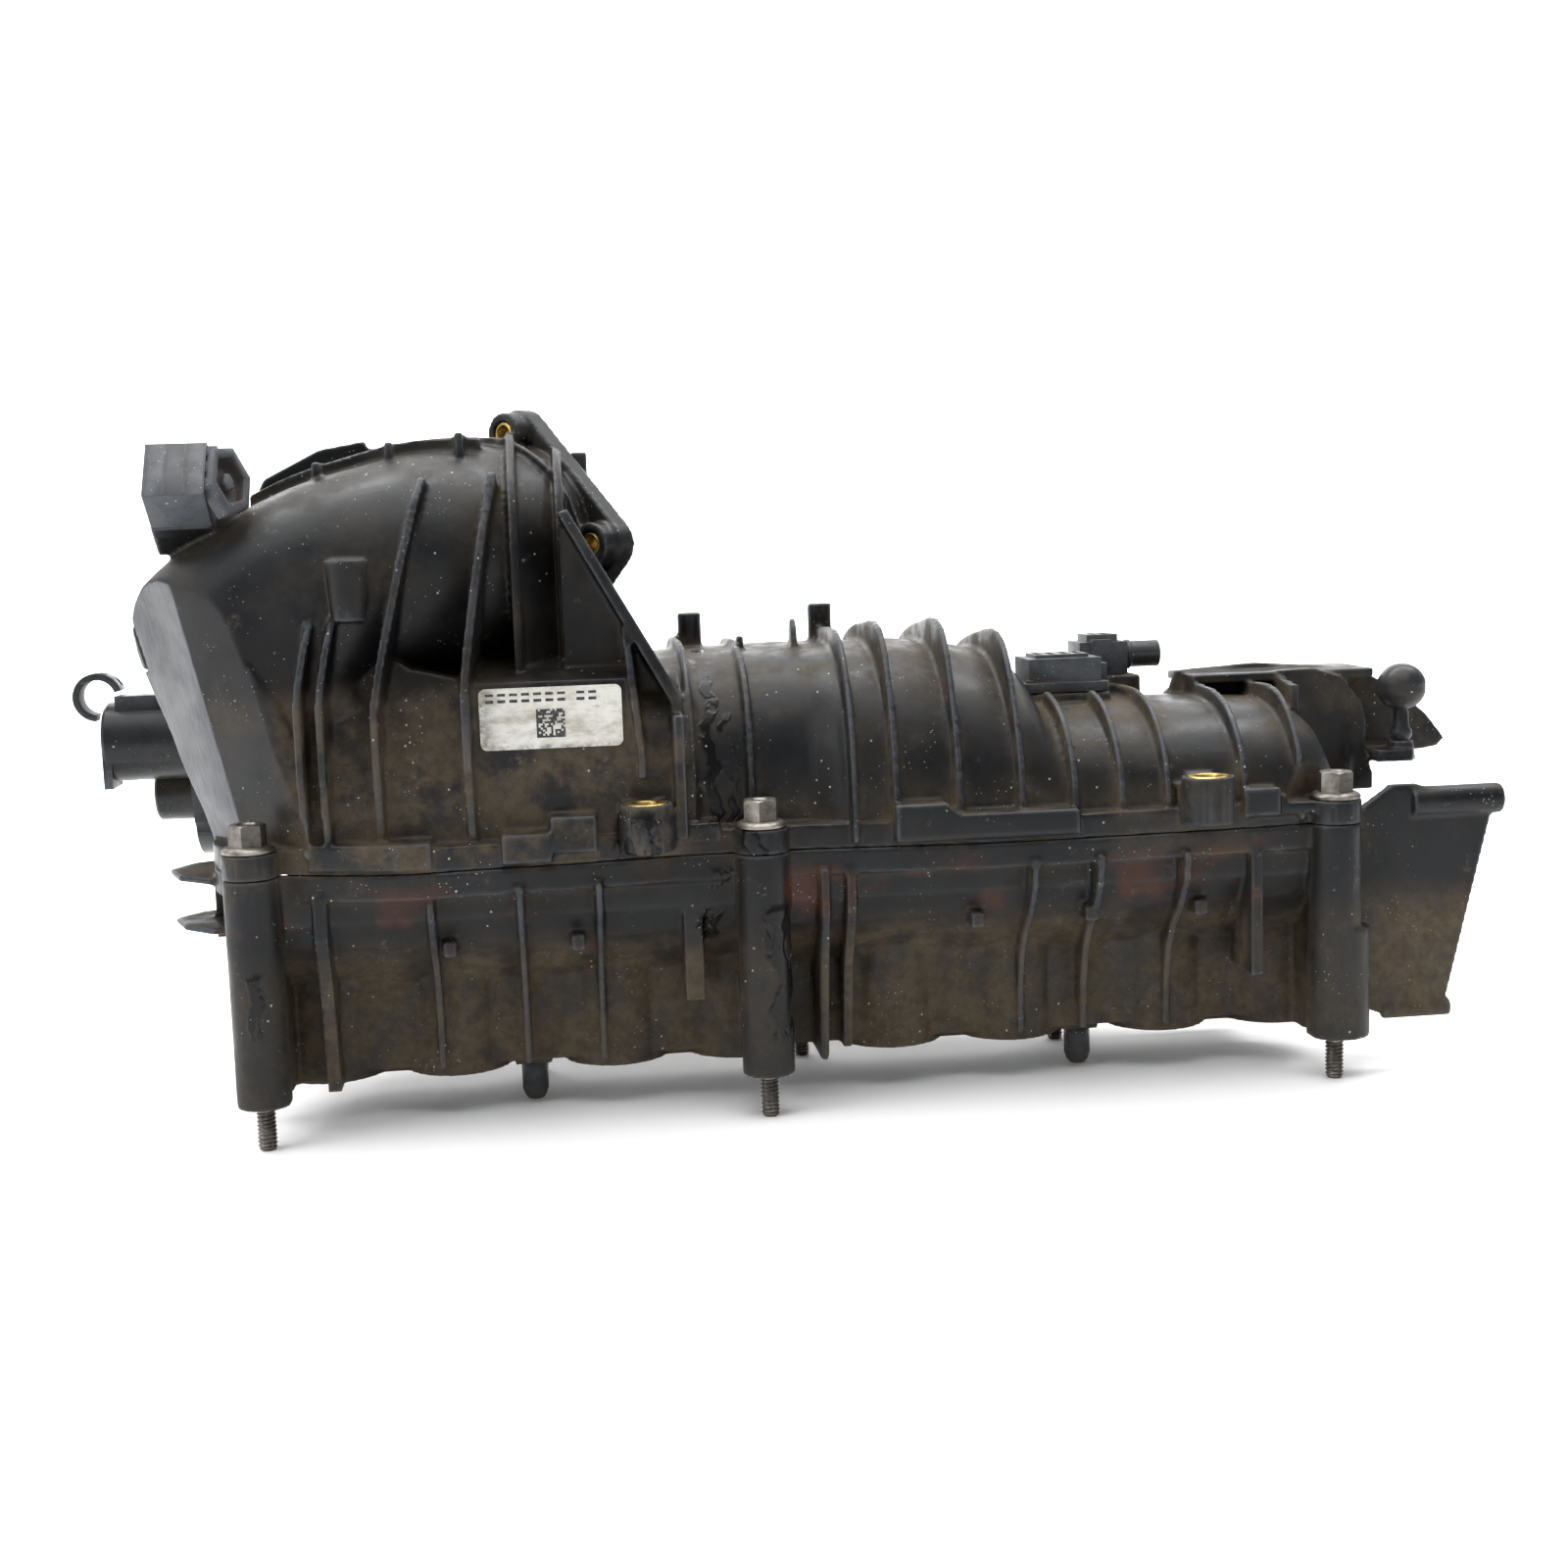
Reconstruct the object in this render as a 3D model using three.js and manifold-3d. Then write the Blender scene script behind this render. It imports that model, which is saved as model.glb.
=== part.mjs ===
// Intake manifold of a four-cylinder engine: two welded plastic shells with a third shell on
// the inlet elbow, swirl flaps in the runners and the gear actuator that turns them.
// Millimetres. X runs along the engine, +Y goes to the back, +Z is up.
// The origin is on the port face, midway between cylinders 2 and 3.
import * as THREE from "three";
import { mergeVertices } from "three/addons/utils/BufferGeometryUtils.js";
import Module from "manifold-3d";

const wasm = await Module();
wasm.setup();

// ---- Driving dimensions ----
const CYLINDER_PITCH = 91;
const CYLINDER_X = [-1.5, -0.5, 0.5, 1.5].map((step) => step * CYLINDER_PITCH);
const PORT_OFFSET = 20; // from a cylinder's centre to each of its two runners
const RUNNER_Y = -2;
const RUNNER_R = 17.5;
const BORE_R = 12.2;
const SEAL_R = 15.4;
const WALL = 3;
const GAP = 0.3; // left between pieces that touch
const JOINT_Z = 70; // weld plane of the two shells
const FLANGE_LOW_Z = 62;
const FLANGE_TOP_Z = 77.7;
const FRONT_BOLT_X = [-174, -19.2, 166];
const FRONT_BOLT_Y = -38;
const REAR_BOLT_X = [-CYLINDER_PITCH, 0, CYLINDER_PITCH];
const REAR_BOLT_Y = 32;
const REAR_LUG_Z = 12;
const BOLT_TIP_Z = -14;
const COLUMN_R = 8.25;
const SLEEVE_R = 4.6;
const SHANK_R = 3;
const PEG_X = [-92.5, 89];
const PEG_Y = -5;
const PEG_R = 4.3;
const BOSSES = [
  [-54.8, -45],
  [121.5, -45],
];
const BOSS_R = 8.3;
const BOSS_TOP_Z = 88;
const BOSS_LOW_Z = 73;
const INSERT_R = 6.6;

// Swirl flaps
const SHAFT_Y = RUNNER_Y;
const SHAFT_Z = 20;
const SHAFT_R = 2.9;
const FLAP_R = 11.5;
const SHAFT_LEFT_X = -186;
const SHAFT_RIGHT_X = 134;
const LEVER_ARM = 14;
const LEVER_REST = -87.5; // degrees from +Y towards +Z
const LEVER_X = [-184.5, -180.5];
const ROD_X = [-180.2, -177.2];
const PIN_R = 2.4;

// Actuator: axes run along X, each given as [y, z]
const OUTPUT_AXIS = [68, 84];
const MOTOR_AXIS = [58, 104];
const GEAR_MODULE = 0.8;
const TOOTH_SHARE = 0.76;
const PINION_TEETH = 10;
const IDLER_BIG_TEETH = 36;
const IDLER_SMALL_TEETH = 12;
const OUTPUT_TEETH = 40;
const MOTOR_R = 10.8;
const BARREL_R = 13.5;
const BARREL_LEFT_X = -232.5;
const CASE_LEFT_X = -204;
const CASE_RIGHT_X = -189.6;
const COVER_RIGHT_X = -187;
const CASE_WALL = 2.4;

// Inlet
const INLET_CENTRE = [-84, 30, 166];
const INLET_TURN = 45; // degrees from +X towards +Y
const INLET_LUG_RADIUS = 36.5;
const INLET_BORE_R = 25.5;
const INLET_SEAL_R = 28.6;

// Fittings
const POCKET_R = 10.5; // room round each front bolt head
const POCKET_TOP_Z = [98, 112, 98];
const BALL_PLACE = [206, 2];
const BALL_Z = 109;
const BALL_R = 8;
const LEVER_HUB_R = 6;
const CONNECTOR_PLACE = [-190, -22, 187];
const CONNECTOR_LEAN = -38; // degrees back from upright
const CLIP_CENTRE = [-234.3, 119.6];
const SCREW_PLACES = [
  [38, 112],
  [94, 92],
  [46, 72],
];

// ---- Solids ----
function solid(geometry) {
  const bare = geometry.index ? geometry.toNonIndexed() : geometry.clone();
  bare.deleteAttribute("normal");
  bare.deleteAttribute("uv");
  const merged = mergeVertices(bare, 1e-4);
  const triVerts = new Uint32Array(merged.index.array);
  const vertProperties = merged.attributes.position.array;
  const made = new wasm.Manifold(new wasm.Mesh({ numProp: 3, vertProperties, triVerts }));
  if (made.volume() > 0) return made;
  for (let i = 0; i < triVerts.length; i += 3) {
    [triVerts[i + 1], triVerts[i + 2]] = [triVerts[i + 2], triVerts[i + 1]];
  }
  return new wasm.Manifold(new wasm.Mesh({ numProp: 3, vertProperties, triVerts }));
}

const join = (...solids) => solids.reduce((all, one) => all.add(one));
const cut = (body, ...tools) => tools.reduce((left, tool) => left.subtract(tool), body);

function box(x0, x1, y0, y1, z0, z1) {
  const geometry = new THREE.BoxGeometry(x1 - x0, y1 - y0, z1 - z0);
  return solid(geometry.translate((x0 + x1) / 2, (y0 + y1) / 2, (z0 + z1) / 2));
}

// A round bar along one axis from `low` to `high`; a and b are its other two coordinates.
function rod(axis, radius, low, high, a, b, sides = 20, highRadius = radius) {
  const geometry = new THREE.CylinderGeometry(highRadius, radius, high - low, sides);
  const middle = (low + high) / 2;
  if (axis === "x") geometry.rotateZ(-Math.PI / 2).translate(middle, a, b);
  if (axis === "y") geometry.translate(a, middle, b);
  if (axis === "z") geometry.rotateX(Math.PI / 2).translate(a, b, middle);
  return solid(geometry);
}

const pipe = (axis, outer, inner, low, high, a, b, sides = 20) =>
  cut(rod(axis, outer, low, high, a, b, sides), rod(axis, inner, low - 1, high + 1, a, b, sides));

// An outline pushed along one axis: [y, z] points along X, [x, z] along Y, [x, y] along Z.
function prismGeometry(axis, points, low, high) {
  const shape = new THREE.Shape(points.map(([u, v]) => new THREE.Vector2(u, v)));
  const geometry = new THREE.ExtrudeGeometry(shape, { depth: high - low, bevelEnabled: false });
  if (axis === "x") geometry.rotateX(Math.PI / 2).rotateZ(Math.PI / 2).translate(low, 0, 0);
  if (axis === "y") geometry.rotateX(Math.PI / 2).translate(0, high, 0);
  if (axis === "z") geometry.translate(0, 0, low);
  return geometry;
}
const prism = (axis, points, low, high) => solid(prismGeometry(axis, points, low, high));

// A closed skin through rings: ringPoint(step, corner) gives one corner of one ring.
function loft(ringPoint, sides, steps) {
  const geometry = new THREE.CylinderGeometry(1, 1, 1, sides, steps);
  const place = geometry.attributes.position;
  for (let i = 0; i < place.count; i++) {
    const step = Math.round((place.getY(i) + 0.5) * steps);
    const turn = Math.atan2(place.getX(i), place.getZ(i)) / (2 * Math.PI);
    const corner = (Math.round(turn * sides) + sides) % sides;
    const onEdge = Math.hypot(place.getX(i), place.getZ(i)) > 0.5;
    const point = ringPoint(step, corner);
    if (!onEdge) point.lerp(ringPoint(step, sides / 2), 0.5);
    place.setXYZ(i, point.x, point.y, point.z);
  }
  return solid(geometry);
}

// Straight-line reading of a table whose rows start with the key.
function readTable(table, key) {
  if (key <= table[0][0]) return table[0].slice(1);
  const next = table.findIndex((row) => row[0] >= key);
  if (next < 0) return table[table.length - 1].slice(1);
  const [before, after] = [table[next - 1], table[next]];
  const part = (key - before[0]) / (after[0] - before[0]);
  return before.slice(1).map((value, i) => value + (after[i + 1] - value) * part);
}

const power = (value, exponent) => Math.sign(value) * Math.abs(value) ** exponent;
const degrees = (value) => (value * Math.PI) / 180;
const arcPoints = (cx, cy, radius, from, to, count) =>
  Array.from({ length: count + 1 }, (_, i) => {
    const angle = degrees(from + ((to - from) * i) / count);
    return [cx + radius * Math.cos(angle), cy + radius * Math.sin(angle)];
  });

// ---- Plenum roof: X, middle Y, half depth, roof height, squareness ----
const SPRING_Z = 76;
const PLENUM = [
  [-187, -5, 27, 104, 3],
  [-150, -2, 36, 122, 3],
  [-125, 18, 56, 127, 3.2],
  [-60, 20, 58, 129, 3.2],
  [-10, 20, 58, 131, 2.9],
  [30, 21, 59, 131, 2.7],
  [50, 22, 60, 129, 2.5],
  [70, 22, 60, 123, 2.4],
  [77, 15, 53, 110, 2.5],
  [120, 9, 47, 109, 2.5],
  [152, 7, 45, 108, 2.5],
  [166, 6, 37, 103, 2.3],
  [174, 6, 24, 92, 2.1],
];

function plenumPoint(x, angle, shrink) {
  const [middle, half, roof, square] = readTable(PLENUM, x);
  const rise = Math.sin(angle) > 0 ? roof - SPRING_Z - shrink : 12;
  const y = middle + (half - shrink) * power(Math.cos(angle), 2 / square);
  return new THREE.Vector3(x, y, SPRING_Z + rise * power(Math.sin(angle), 2 / square));
}

// One ring at each row of the table: two corners below the weld plane, the rest round the arch.
function plenumBody(shrink, sides) {
  const last = PLENUM.length - 1;
  const low = PLENUM[0][0] + shrink;
  const high = PLENUM[last][0] - shrink;
  const ringPoint = (step, corner) => {
    const x = Math.min(high, Math.max(low, PLENUM[step][0]));
    const below = corner === 0 || corner === sides - 1;
    const point = plenumPoint(x, (Math.PI * (corner - 1)) / (sides - 3), shrink);
    if (below) {
      const [middle, half] = readTable(PLENUM, x);
      point.set(x, middle + (corner === 0 ? 1 : -1) * (half - shrink), 60);
    }
    return point;
  };
  return loft(ringPoint, sides, last);
}

// The label panel: a flat, upright part of the front wall.
const panelBody = (inset) =>
  box(-118 + inset, -46 - inset, -38 + inset, 0, 60, 126 - inset);

// ---- Inlet elbow: centre line, then radius up and down it and radius across it ----
const inletWay = new THREE.Vector3(Math.cos(degrees(INLET_TURN)), Math.sin(degrees(INLET_TURN)), 0);
const inletPoint = new THREE.Vector3(...INLET_CENTRE);
const ELBOW_LINE = new THREE.CatmullRomCurve3([
  inletPoint,
  inletPoint.clone().addScaledVector(inletWay, -14),
  new THREE.Vector3(-105, 9, 163),
  new THREE.Vector3(-127, 0, 160),
  new THREE.Vector3(-147, -4, 154),
  new THREE.Vector3(-164, -5, 140),
  new THREE.Vector3(-171, -4, 117),
  new THREE.Vector3(-165, -3, 92),
  new THREE.Vector3(-161, -3, 76),
]);
const ELBOW_SIZE = [
  [0, 30, 30, 2],
  [0.12, 34, 34, 2],
  [0.25, 35, 35, 2],
  [0.4, 34, 34, 2.1],
  [0.54, 37, 34, 2.3],
  [0.65, 46, 33, 2.5],
  [0.77, 30, 33, 3],
  [0.9, 27.5, 34, 3.4],
  [1, 27, 34, 3.4],
];

function elbowPoint(t, angle, shrink) {
  const along = ELBOW_LINE.getTangentAt(Math.min(t, 1));
  const centre = ELBOW_LINE.getPointAt(Math.min(t, 1));
  if (t < 1e-6 && shrink > 0) centre.addScaledVector(inletWay, 2);
  const across = new THREE.Vector3(0, 1, 0).addScaledVector(along, -along.y).normalize();
  if (t < 0.2) across.set(-along.y, along.x, 0).multiplyScalar(-1).normalize();
  const outward = new THREE.Vector3().crossVectors(across, along).normalize();
  const [high, wide, square] = readTable(ELBOW_SIZE, t);
  const sideways = (wide - shrink) * power(Math.cos(angle), 2 / square);
  const upwards = (high - shrink) * power(Math.sin(angle), 2 / square);
  return centre.addScaledVector(across, sideways).addScaledVector(outward, upwards);
}
const elbowBody = (shrink, sides, steps) =>
  loft((step, corner) => elbowPoint(step / steps, (2 * Math.PI * corner) / sides, shrink), sides, steps);

// The slanted face at the front left corner of the elbow's foot.
function cornerTool(inset) {
  const tool = new THREE.BoxGeometry(40, 70, 180).translate(inset - 20, 0, 0);
  tool.rotateZ(degrees(34)).rotateY(degrees(-14)).translate(-185, -19, 103);
  return solid(tool);
}

// ---- Weld flange outline, front edge left to right, then back again ----
const FLANGE = [
  [-189, 4],
  [-188, -14],
  [-180, -28],
  [-157, -39],
  [-130, -46.5],
  [-106, -44.5],
  [-73, -42],
  [-50, -35],
  [-30, -32],
  [-8, -31],
  [10, -38],
  [32, -42.5],
  [60, -44.5],
  [104, -43],
  [148, -40],
  [168, -34],
  [180, -16],
  [182, 6],
  [176, 34],
  [160, 56],
  [118, 64],
  [86, 72],
  [72, 87],
  [20, 88],
  [-118, 84],
  [-140, 60],
  [-150, 38],
  [-172, 34],
  [-187, 26],
];

// ---- Upper shell ----
const boltPockets = (extra) =>
  FRONT_BOLT_X.map((x, i) =>
    rod("z", POCKET_R + extra, FLANGE_TOP_Z - 3 * extra, POCKET_TOP_Z[i] + extra, x, FRONT_BOLT_Y, 20),
  );

// A hoop round the plenum roof, standing proud of it.
const ROOF_RIBS = [-30, 2, 23, 45, 65, 80, 95, 110, 135, 154];
function roofRib(x, proud = 4.5, thickness = 2.4) {
  const points = [];
  for (let i = 0; i <= 6; i++) {
    const angle = Math.PI * (1.02 - (i / 6) * 0.78);
    const point = plenumPoint(x, angle, -proud);
    points.push([point.y, point.z]);
  }
  points.push([10, 90]);
  points.push([0, 72]);
  points.push([points[0][0], 72]);
  return prism("x", points, x - thickness / 2, x + thickness / 2);
}

// A tall blade from the weld flange to the elbow. Above `bendZ` it leans towards +X.
function blade(x, outline, bendZ, lean, thickness = 2.8) {
  const geometry = prismGeometry("x", outline, x - thickness / 2, x + thickness / 2);
  const place = geometry.attributes.position;
  for (let i = 0; i < place.count; i++) {
    const above = Math.max(0, place.getZ(i) - bendZ);
    place.setX(i, place.getX(i) + above * lean + (place.getY(i) + 38) * 0.1);
  }
  return solid(geometry);
}

function elbowBlades() {
  const leftBlade = [[-20, 76], [-43, 76], [-45, 100], [-45, 121], [-43, 140], [-38, 149], [-20, 149]];
  const middleBlade = [[0, 76], [-41, 76], [-43, 100], [-43, 116], [-42, 140], [-37, 163],
    [-27, 181], [-16, 188], [0, 180]];
  const rightBlade = [[0, 76], [-41, 76], [-43, 100], [-43, 123], [-37, 150], [-29, 172], [-15, 189],
    [0, 180]];
  return join(
    blade(-156, leftBlade, 121, 0.2),
    blade(-149.5, leftBlade, 121, 0.2),
    blade(-134, middleBlade, 116, 0.22),
    blade(-107, rightBlade, 123, 0.145),
    blade(-55, [[-20, 76], [-41, 76], [-41, 118], [-36, 141], [-20, 141]], 100, -0.1),
  );
}

// Triangular plate between the elbow's neck and the front wall.
const gusset = () =>
  prism("y", [[-96, 110], [-92, 176], [-77, 178], [-44, 117], [-42, 76], [-60, 76], [-60, 110]], -35, -26);

// Everything square to the inlet's axis is built along X at the origin and then turned into place.
function atInlet(body) {
  return body.rotate([0, 0, INLET_TURN]).translate(INLET_CENTRE);
}
const lugPlaces = [0, 1, 2, 3].map((i) => [
  INLET_LUG_RADIUS * Math.cos(degrees(90 * i)),
  INLET_LUG_RADIUS * Math.sin(degrees(90 * i)),
]);
function inletFlange() {
  const outline = [];
  lugPlaces.forEach(([y, z], i) => outline.push(...arcPoints(y, z, 8, 90 * i - 45, 90 * i + 45, 3)));
  const plate = prism("x", outline, -7, 0);
  const lugs = lugPlaces.map(([y, z]) => rod("x", 7, -13, 0, y, z, 10));
  return atInlet(join(plate, ...lugs));
}
function inletTools() {
  const holes = lugPlaces.map(([y, z]) => rod("x", 4.2, -20, 1, y, z, 10));
  const groove = rod("x", INLET_SEAL_R + GAP, -2.6, 1, 0, 0, 20);
  return atInlet(join(rod("x", INLET_BORE_R, -9, 2, 0, 0, 20), groove, ...holes));
}

// A hoop round the elbow's neck.
function neckRib(t, proud) {
  const sides = 14;
  const ring = (step, corner) => elbowPoint(t + (step - 0.5) * 0.014, (2 * Math.PI * corner) / sides, -proud);
  return loft(ring, sides, 1);
}

const seamBox = (gap) => box(-230, -120 - gap, 3 + gap, 60, 131 + gap, 215);
const seamRim = (y0, y1) => elbowBody(-4, 14, 10).intersect(box(-230, -100, y0, y1, 131, 215));

function sensorPads() {
  return join(box(73, 103, -3, 24, 90, 112), box(100, 122, 26, 46, 84, 115));
}

function roofPosts() {
  return join(rod("z", 4, 110, 142, -34, 30, 10), rod("z", 4, 110, 143.5, 10.5, 30, 10));
}

// Arm at the right end with the ledge for the ball stud.
function rightArm() {
  const plate = [[120, 84], [132, 116.5], [160, 118], [197, 115], [212, 106], [222, 98], [229, 89],
    [226, 86], [208, 84], [192, 88], [182, 78], [150, 76]];
  return join(
    prism("y", plate, 17, 21),
    box(134, 198, 6, 34, 112.5, 115.5),
    prism("x", [[-8, 76], [-8, 112], [18, 116], [18, 76]], 163, 166),
    prism("x", [[2, 80], [6, 114], [18, 114], [18, 80]], 186, 189),
    rod("z", 6.5, 84, 92, ...BALL_PLACE, 16),
    box(196, 212, 2, 19, 84, 89),
  );
}

// Front bosses, and the raised lands on the weld flange beside them.
function flangeDetails() {
  const bosses = BOSSES.map(([x, y]) => rod("z", BOSS_R, BOSS_LOW_Z, BOSS_TOP_Z, x, y, 14));
  return join(
    ...bosses,
    box(-63, -46, -45, -34, 73, 85),
    box(113, 130, -45, -36, 73, 85),
    box(-92, -68, -42.2, -34, 74, 84),
    box(28, 52, -42.2, -34, 74, 82),
    box(134, 146, -40.5, -30, 74, 83),
  );
}

// Plate behind the left end that carries the actuator, with three screw posts.
function actuatorPlate() {
  const plate = [[28, 100], [34, 120], [60, 124], [100, 100], [100, 84], [88, 76], [60, 68],
    [42, 66], [28, 80]];
  const posts = SCREW_PLACES.map(([y, z]) => rod("x", 5, -187, -172, y, z, 14));
  return join(
    prism("x", plate, -176, -172.5),
    ...posts,
    box(-176, -112, 58, 70, 104, 107),
    box(-176, -112, 50, 72, 72, 75.5),
    box(-176, -150, 24, 34, 98, 102),
  );
}

// Inside of the roof and the elbow, kept away from the pockets round the bolt heads.
function upperHollow() {
  const elbowFoot = box(-182, -153, -18, 12, 80, 134);
  const spaces = join(plenumBody(WALL, 10), elbowBody(WALL, 10, 8), panelBody(WALL), elbowFoot);
  return cut(spaces, ...boltPockets(WALL), cornerTool(WALL));
}

// Plug housing, its seat on the elbow and the latch piece all lean back together.
const leanBack = (geometry) =>
  geometry.rotateX(degrees(CONNECTOR_LEAN)).translate(...CONNECTOR_PLACE);
function connectorSeat() {
  const block = new THREE.BoxGeometry(25, 12, 18).translate(3.5, 15.3, 0);
  const pad = new THREE.BoxGeometry(18, 4, 18).translate(0, 9.8, 0);
  return join(solid(leanBack(block)), solid(leanBack(pad)));
}

function upperShell() {
  const skin = cut(join(plenumBody(0, 14), elbowBody(0, 16, 11), panelBody(0)), cornerTool(0));
  const ribs = ROOF_RIBS.map((x) => roofRib(x));
  const lugs = FRONT_BOLT_X.map((x) => rod("z", COLUMN_R, 66, FLANGE_TOP_Z, x, FRONT_BOLT_Y, 14));
  const webs = FRONT_BOLT_X.map((x) => box(x - 7, x + 7, FRONT_BOLT_Y, -26, 66, FLANGE_TOP_Z));
  const outer = join(
    skin,
    ...ribs,
    ...lugs,
    ...webs,
    prism("z", FLANGE, 66, FLANGE_TOP_Z),
    elbowBlades(),
    gusset(),
    inletFlange(),
    neckRib(0.235, 4),
    seamRim(0, 3),
    sensorPads(),
    roofPosts(),
    rightArm(),
    flangeDetails(),
    actuatorPlate(),
    connectorSeat(),
    rod("z", 5, 146, 164, -140, -41, 16, 6.5),
  );
  const inserts = BOSSES.map(([x, y]) => rod("z", INSERT_R + GAP, BOSS_LOW_Z + 2, 90, x, y, 12));
  const sleeves = FRONT_BOLT_X.map((x) => rod("z", SLEEVE_R + GAP, 60, 90, x, FRONT_BOLT_Y, 10));
  const screws = SCREW_PLACES.map(([y, z]) => rod("x", 2, -190, -176.8, y, z, 10));
  return cut(
    outer,
    ...boltPockets(0),
    upperHollow(),
    box(-300, 300, -100, 150, 40, JOINT_Z + GAP / 2),
    seamBox(0),
    inletTools(),
    box(72, 105, -6, 26, 112, 135),
    rod("z", 4.8, 100, 120, 87, 10, 16),
    rod("z", 4.3, 100, 120, 109, 36, 16),
    rod("z", 2.6, 70, 95, ...BALL_PLACE, 14),
    ...inserts,
    ...sleeves,
    ...screws,
    outputSweep(),
  );
}

// Room for the output lever and the rod behind the left end.
function outputSweep() {
  return rod("x", LEVER_ARM + 6, -186.8, -176.5, ...OUTPUT_AXIS, 24);
}

// ---- Rear cover of the elbow ----
function elbowRearCover() {
  const fin = [[-178, 174], [-170, 190], [-152, 199], [-137, 201.5], [-137, 199], [-110, 199], [-108, 176]];
  const outer = join(elbowBody(0, 16, 11), seamRim(3, 6), prism("y", fin, 19, 22));
  return cut(outer, elbowBody(WALL, 10, 8)).intersect(seamBox(GAP));
}

// ---- Lower shell ----
const TROUGH_BACK = [
  [-172, -125, 32],
  [-128, 78, 74],
  [75, 168, 49],
];
function trough(x0, x1, back, inset) {
  const top = inset > 0 ? JOINT_Z + 5 : JOINT_Z;
  const low = 30 + (inset > 0 ? 8 : 0);
  const points = [
    [-37 + inset, top],
    [-36.5 + inset, 54],
    [-31.5 + inset, 45.5 + inset / 2],
    [-15 + inset / 2, low],
    [14 - inset, low],
    [back * 0.55, low + 12],
    [back - inset, 57],
    [back - inset, top],
  ];
  return prism("x", points, x0 + inset, x1 - inset);
}
// Inside, the three stretches run into each other.
function troughs(inset) {
  const longer = inset > 0 ? inset + 0.5 : 0;
  return join(...TROUGH_BACK.map(([x0, x1, back]) => trough(x0 - longer, x1 + longer, back, inset)));
}

const eachPort = (make) =>
  CYLINDER_X.flatMap((centre) => [make(centre - PORT_OFFSET), make(centre + PORT_OFFSET)]);
const runners = () => eachPort((x) => rod("z", RUNNER_R, 0, 40, x, RUNNER_Y, 16));

// Webs that tie the runners together.
function runnerWebs() {
  const within = CYLINDER_X.map((x) => box(x - PORT_OFFSET, x + PORT_OFFSET, -9, 8, 0, 36));
  const between = [-1, 0, 1].map((step) => {
    const x = step * CYLINDER_PITCH;
    return box(x - 14, x + 14, -5, 8, 0, 36);
  });
  const pegs = PEG_X.map((x) => box(x - 6, x + 6, PEG_Y - 6, 0, 0, 34));
  const plate = box(-160, 160, 4, 34, 0, 9);
  return join(...within, ...between, ...pegs, plate);
}

const FRONT_RIBS = [-121, -94, -70, 66, 87, 115];
function frontRib(x) {
  const outline = [[0, 64], [-45.5, 64], [-44, 55], [-38, 46], [-30, 38], [-25, 30], [-22, 18],
    [-21, 3], [0, 3]];
  return prism("x", outline, x - 1.3, x + 1.3);
}
function rearRib(x) {
  return prism("x", [[4, 4], [20, 9], [26, 24], [44, 40], [70, 56], [70, 63], [0, 63]], x - 1.3, x + 1.3);
}

// Where each column's web meets the runners, left and right of the column.
const WEB_FOOT = [
  [4, 10],
  [-8, 10],
  [-8.5, -8],
];
function columns() {
  const posts = FRONT_BOLT_X.map((x) => rod("z", COLUMN_R, 0, JOINT_Z, x, FRONT_BOLT_Y, 14));
  const webs = FRONT_BOLT_X.map((x, i) => {
    const [nearLeft, nearRight] = WEB_FOOT[i];
    const web = [[x - 5, FRONT_BOLT_Y], [x + 5, FRONT_BOLT_Y], [x + nearRight, 0], [x + nearLeft, 0]];
    return prism("z", web, 0, 66);
  });
  const lugs = REAR_BOLT_X.map((x) => rod("z", 9, 0, REAR_LUG_Z, x, REAR_BOLT_Y, 12));
  return join(...posts, ...webs, ...lugs, rod("z", 10, 0, 36, 168, -36, 14));
}

// Posts and studs on the front wall.
function frontDetails() {
  const studs = [-116, -77, 49, 86, 122].map((x) => box(x - 2, x + 2, -37, -20, 42, 47));
  return join(
    prism("x", [[-30, 0], [-30, 62], [-6, 62], [-6, 0]], -156, -152),
    prism("x", [[-27, 0], [-30, 62], [0, 62], [0, 0]], -1.5, 1.5),
    prism("x", [[-16, 0], [-16, 62], [0, 62], [0, 0]], 7, 10),
    box(137, 141, -41, -20, 22, 62),
    box(-44, -38, -36, -20, 24, 58),
    ...studs,
  );
}

// Bracket at the right end: a folded plate with a round bar on top and one at its foot.
function sideBracket() {
  const plate = [[164, 12], [164, 61], [175, 61], [178, 73], [188, 80], [197, 80], [223, 71],
    [207, 6], [188, 3]];
  return join(
    prism("y", plate, -31, -27.5),
    rod("x", 5, 195, 226, -29, 74, 16),
    rod("x", 3, 186, 209, -29, 5, 14),
    prism("z", [[172, -31], [192, -27.5], [192, -14], [188, -14], [172, -24]], 20, 62),
  );
}

// Two thin leaves at the left end.
function leftLeaves() {
  const upperLeaf = [[-168, -16], [-190, -14], [-201, -4], [-206, 10], [-200, 22], [-186, 28], [-168, 28]];
  const lowerLeaf = [[-168, -16], [-190, -16], [-200, -6], [-205, 8], [-198, 18], [-184, 22], [-168, 22]];
  const leaves = join(prism("z", upperLeaf, 64.5, 66.5), prism("z", lowerLeaf, 49, 51));
  return join(leaves, box(-192, -168, 6, 8, 44, 66));
}

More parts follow.
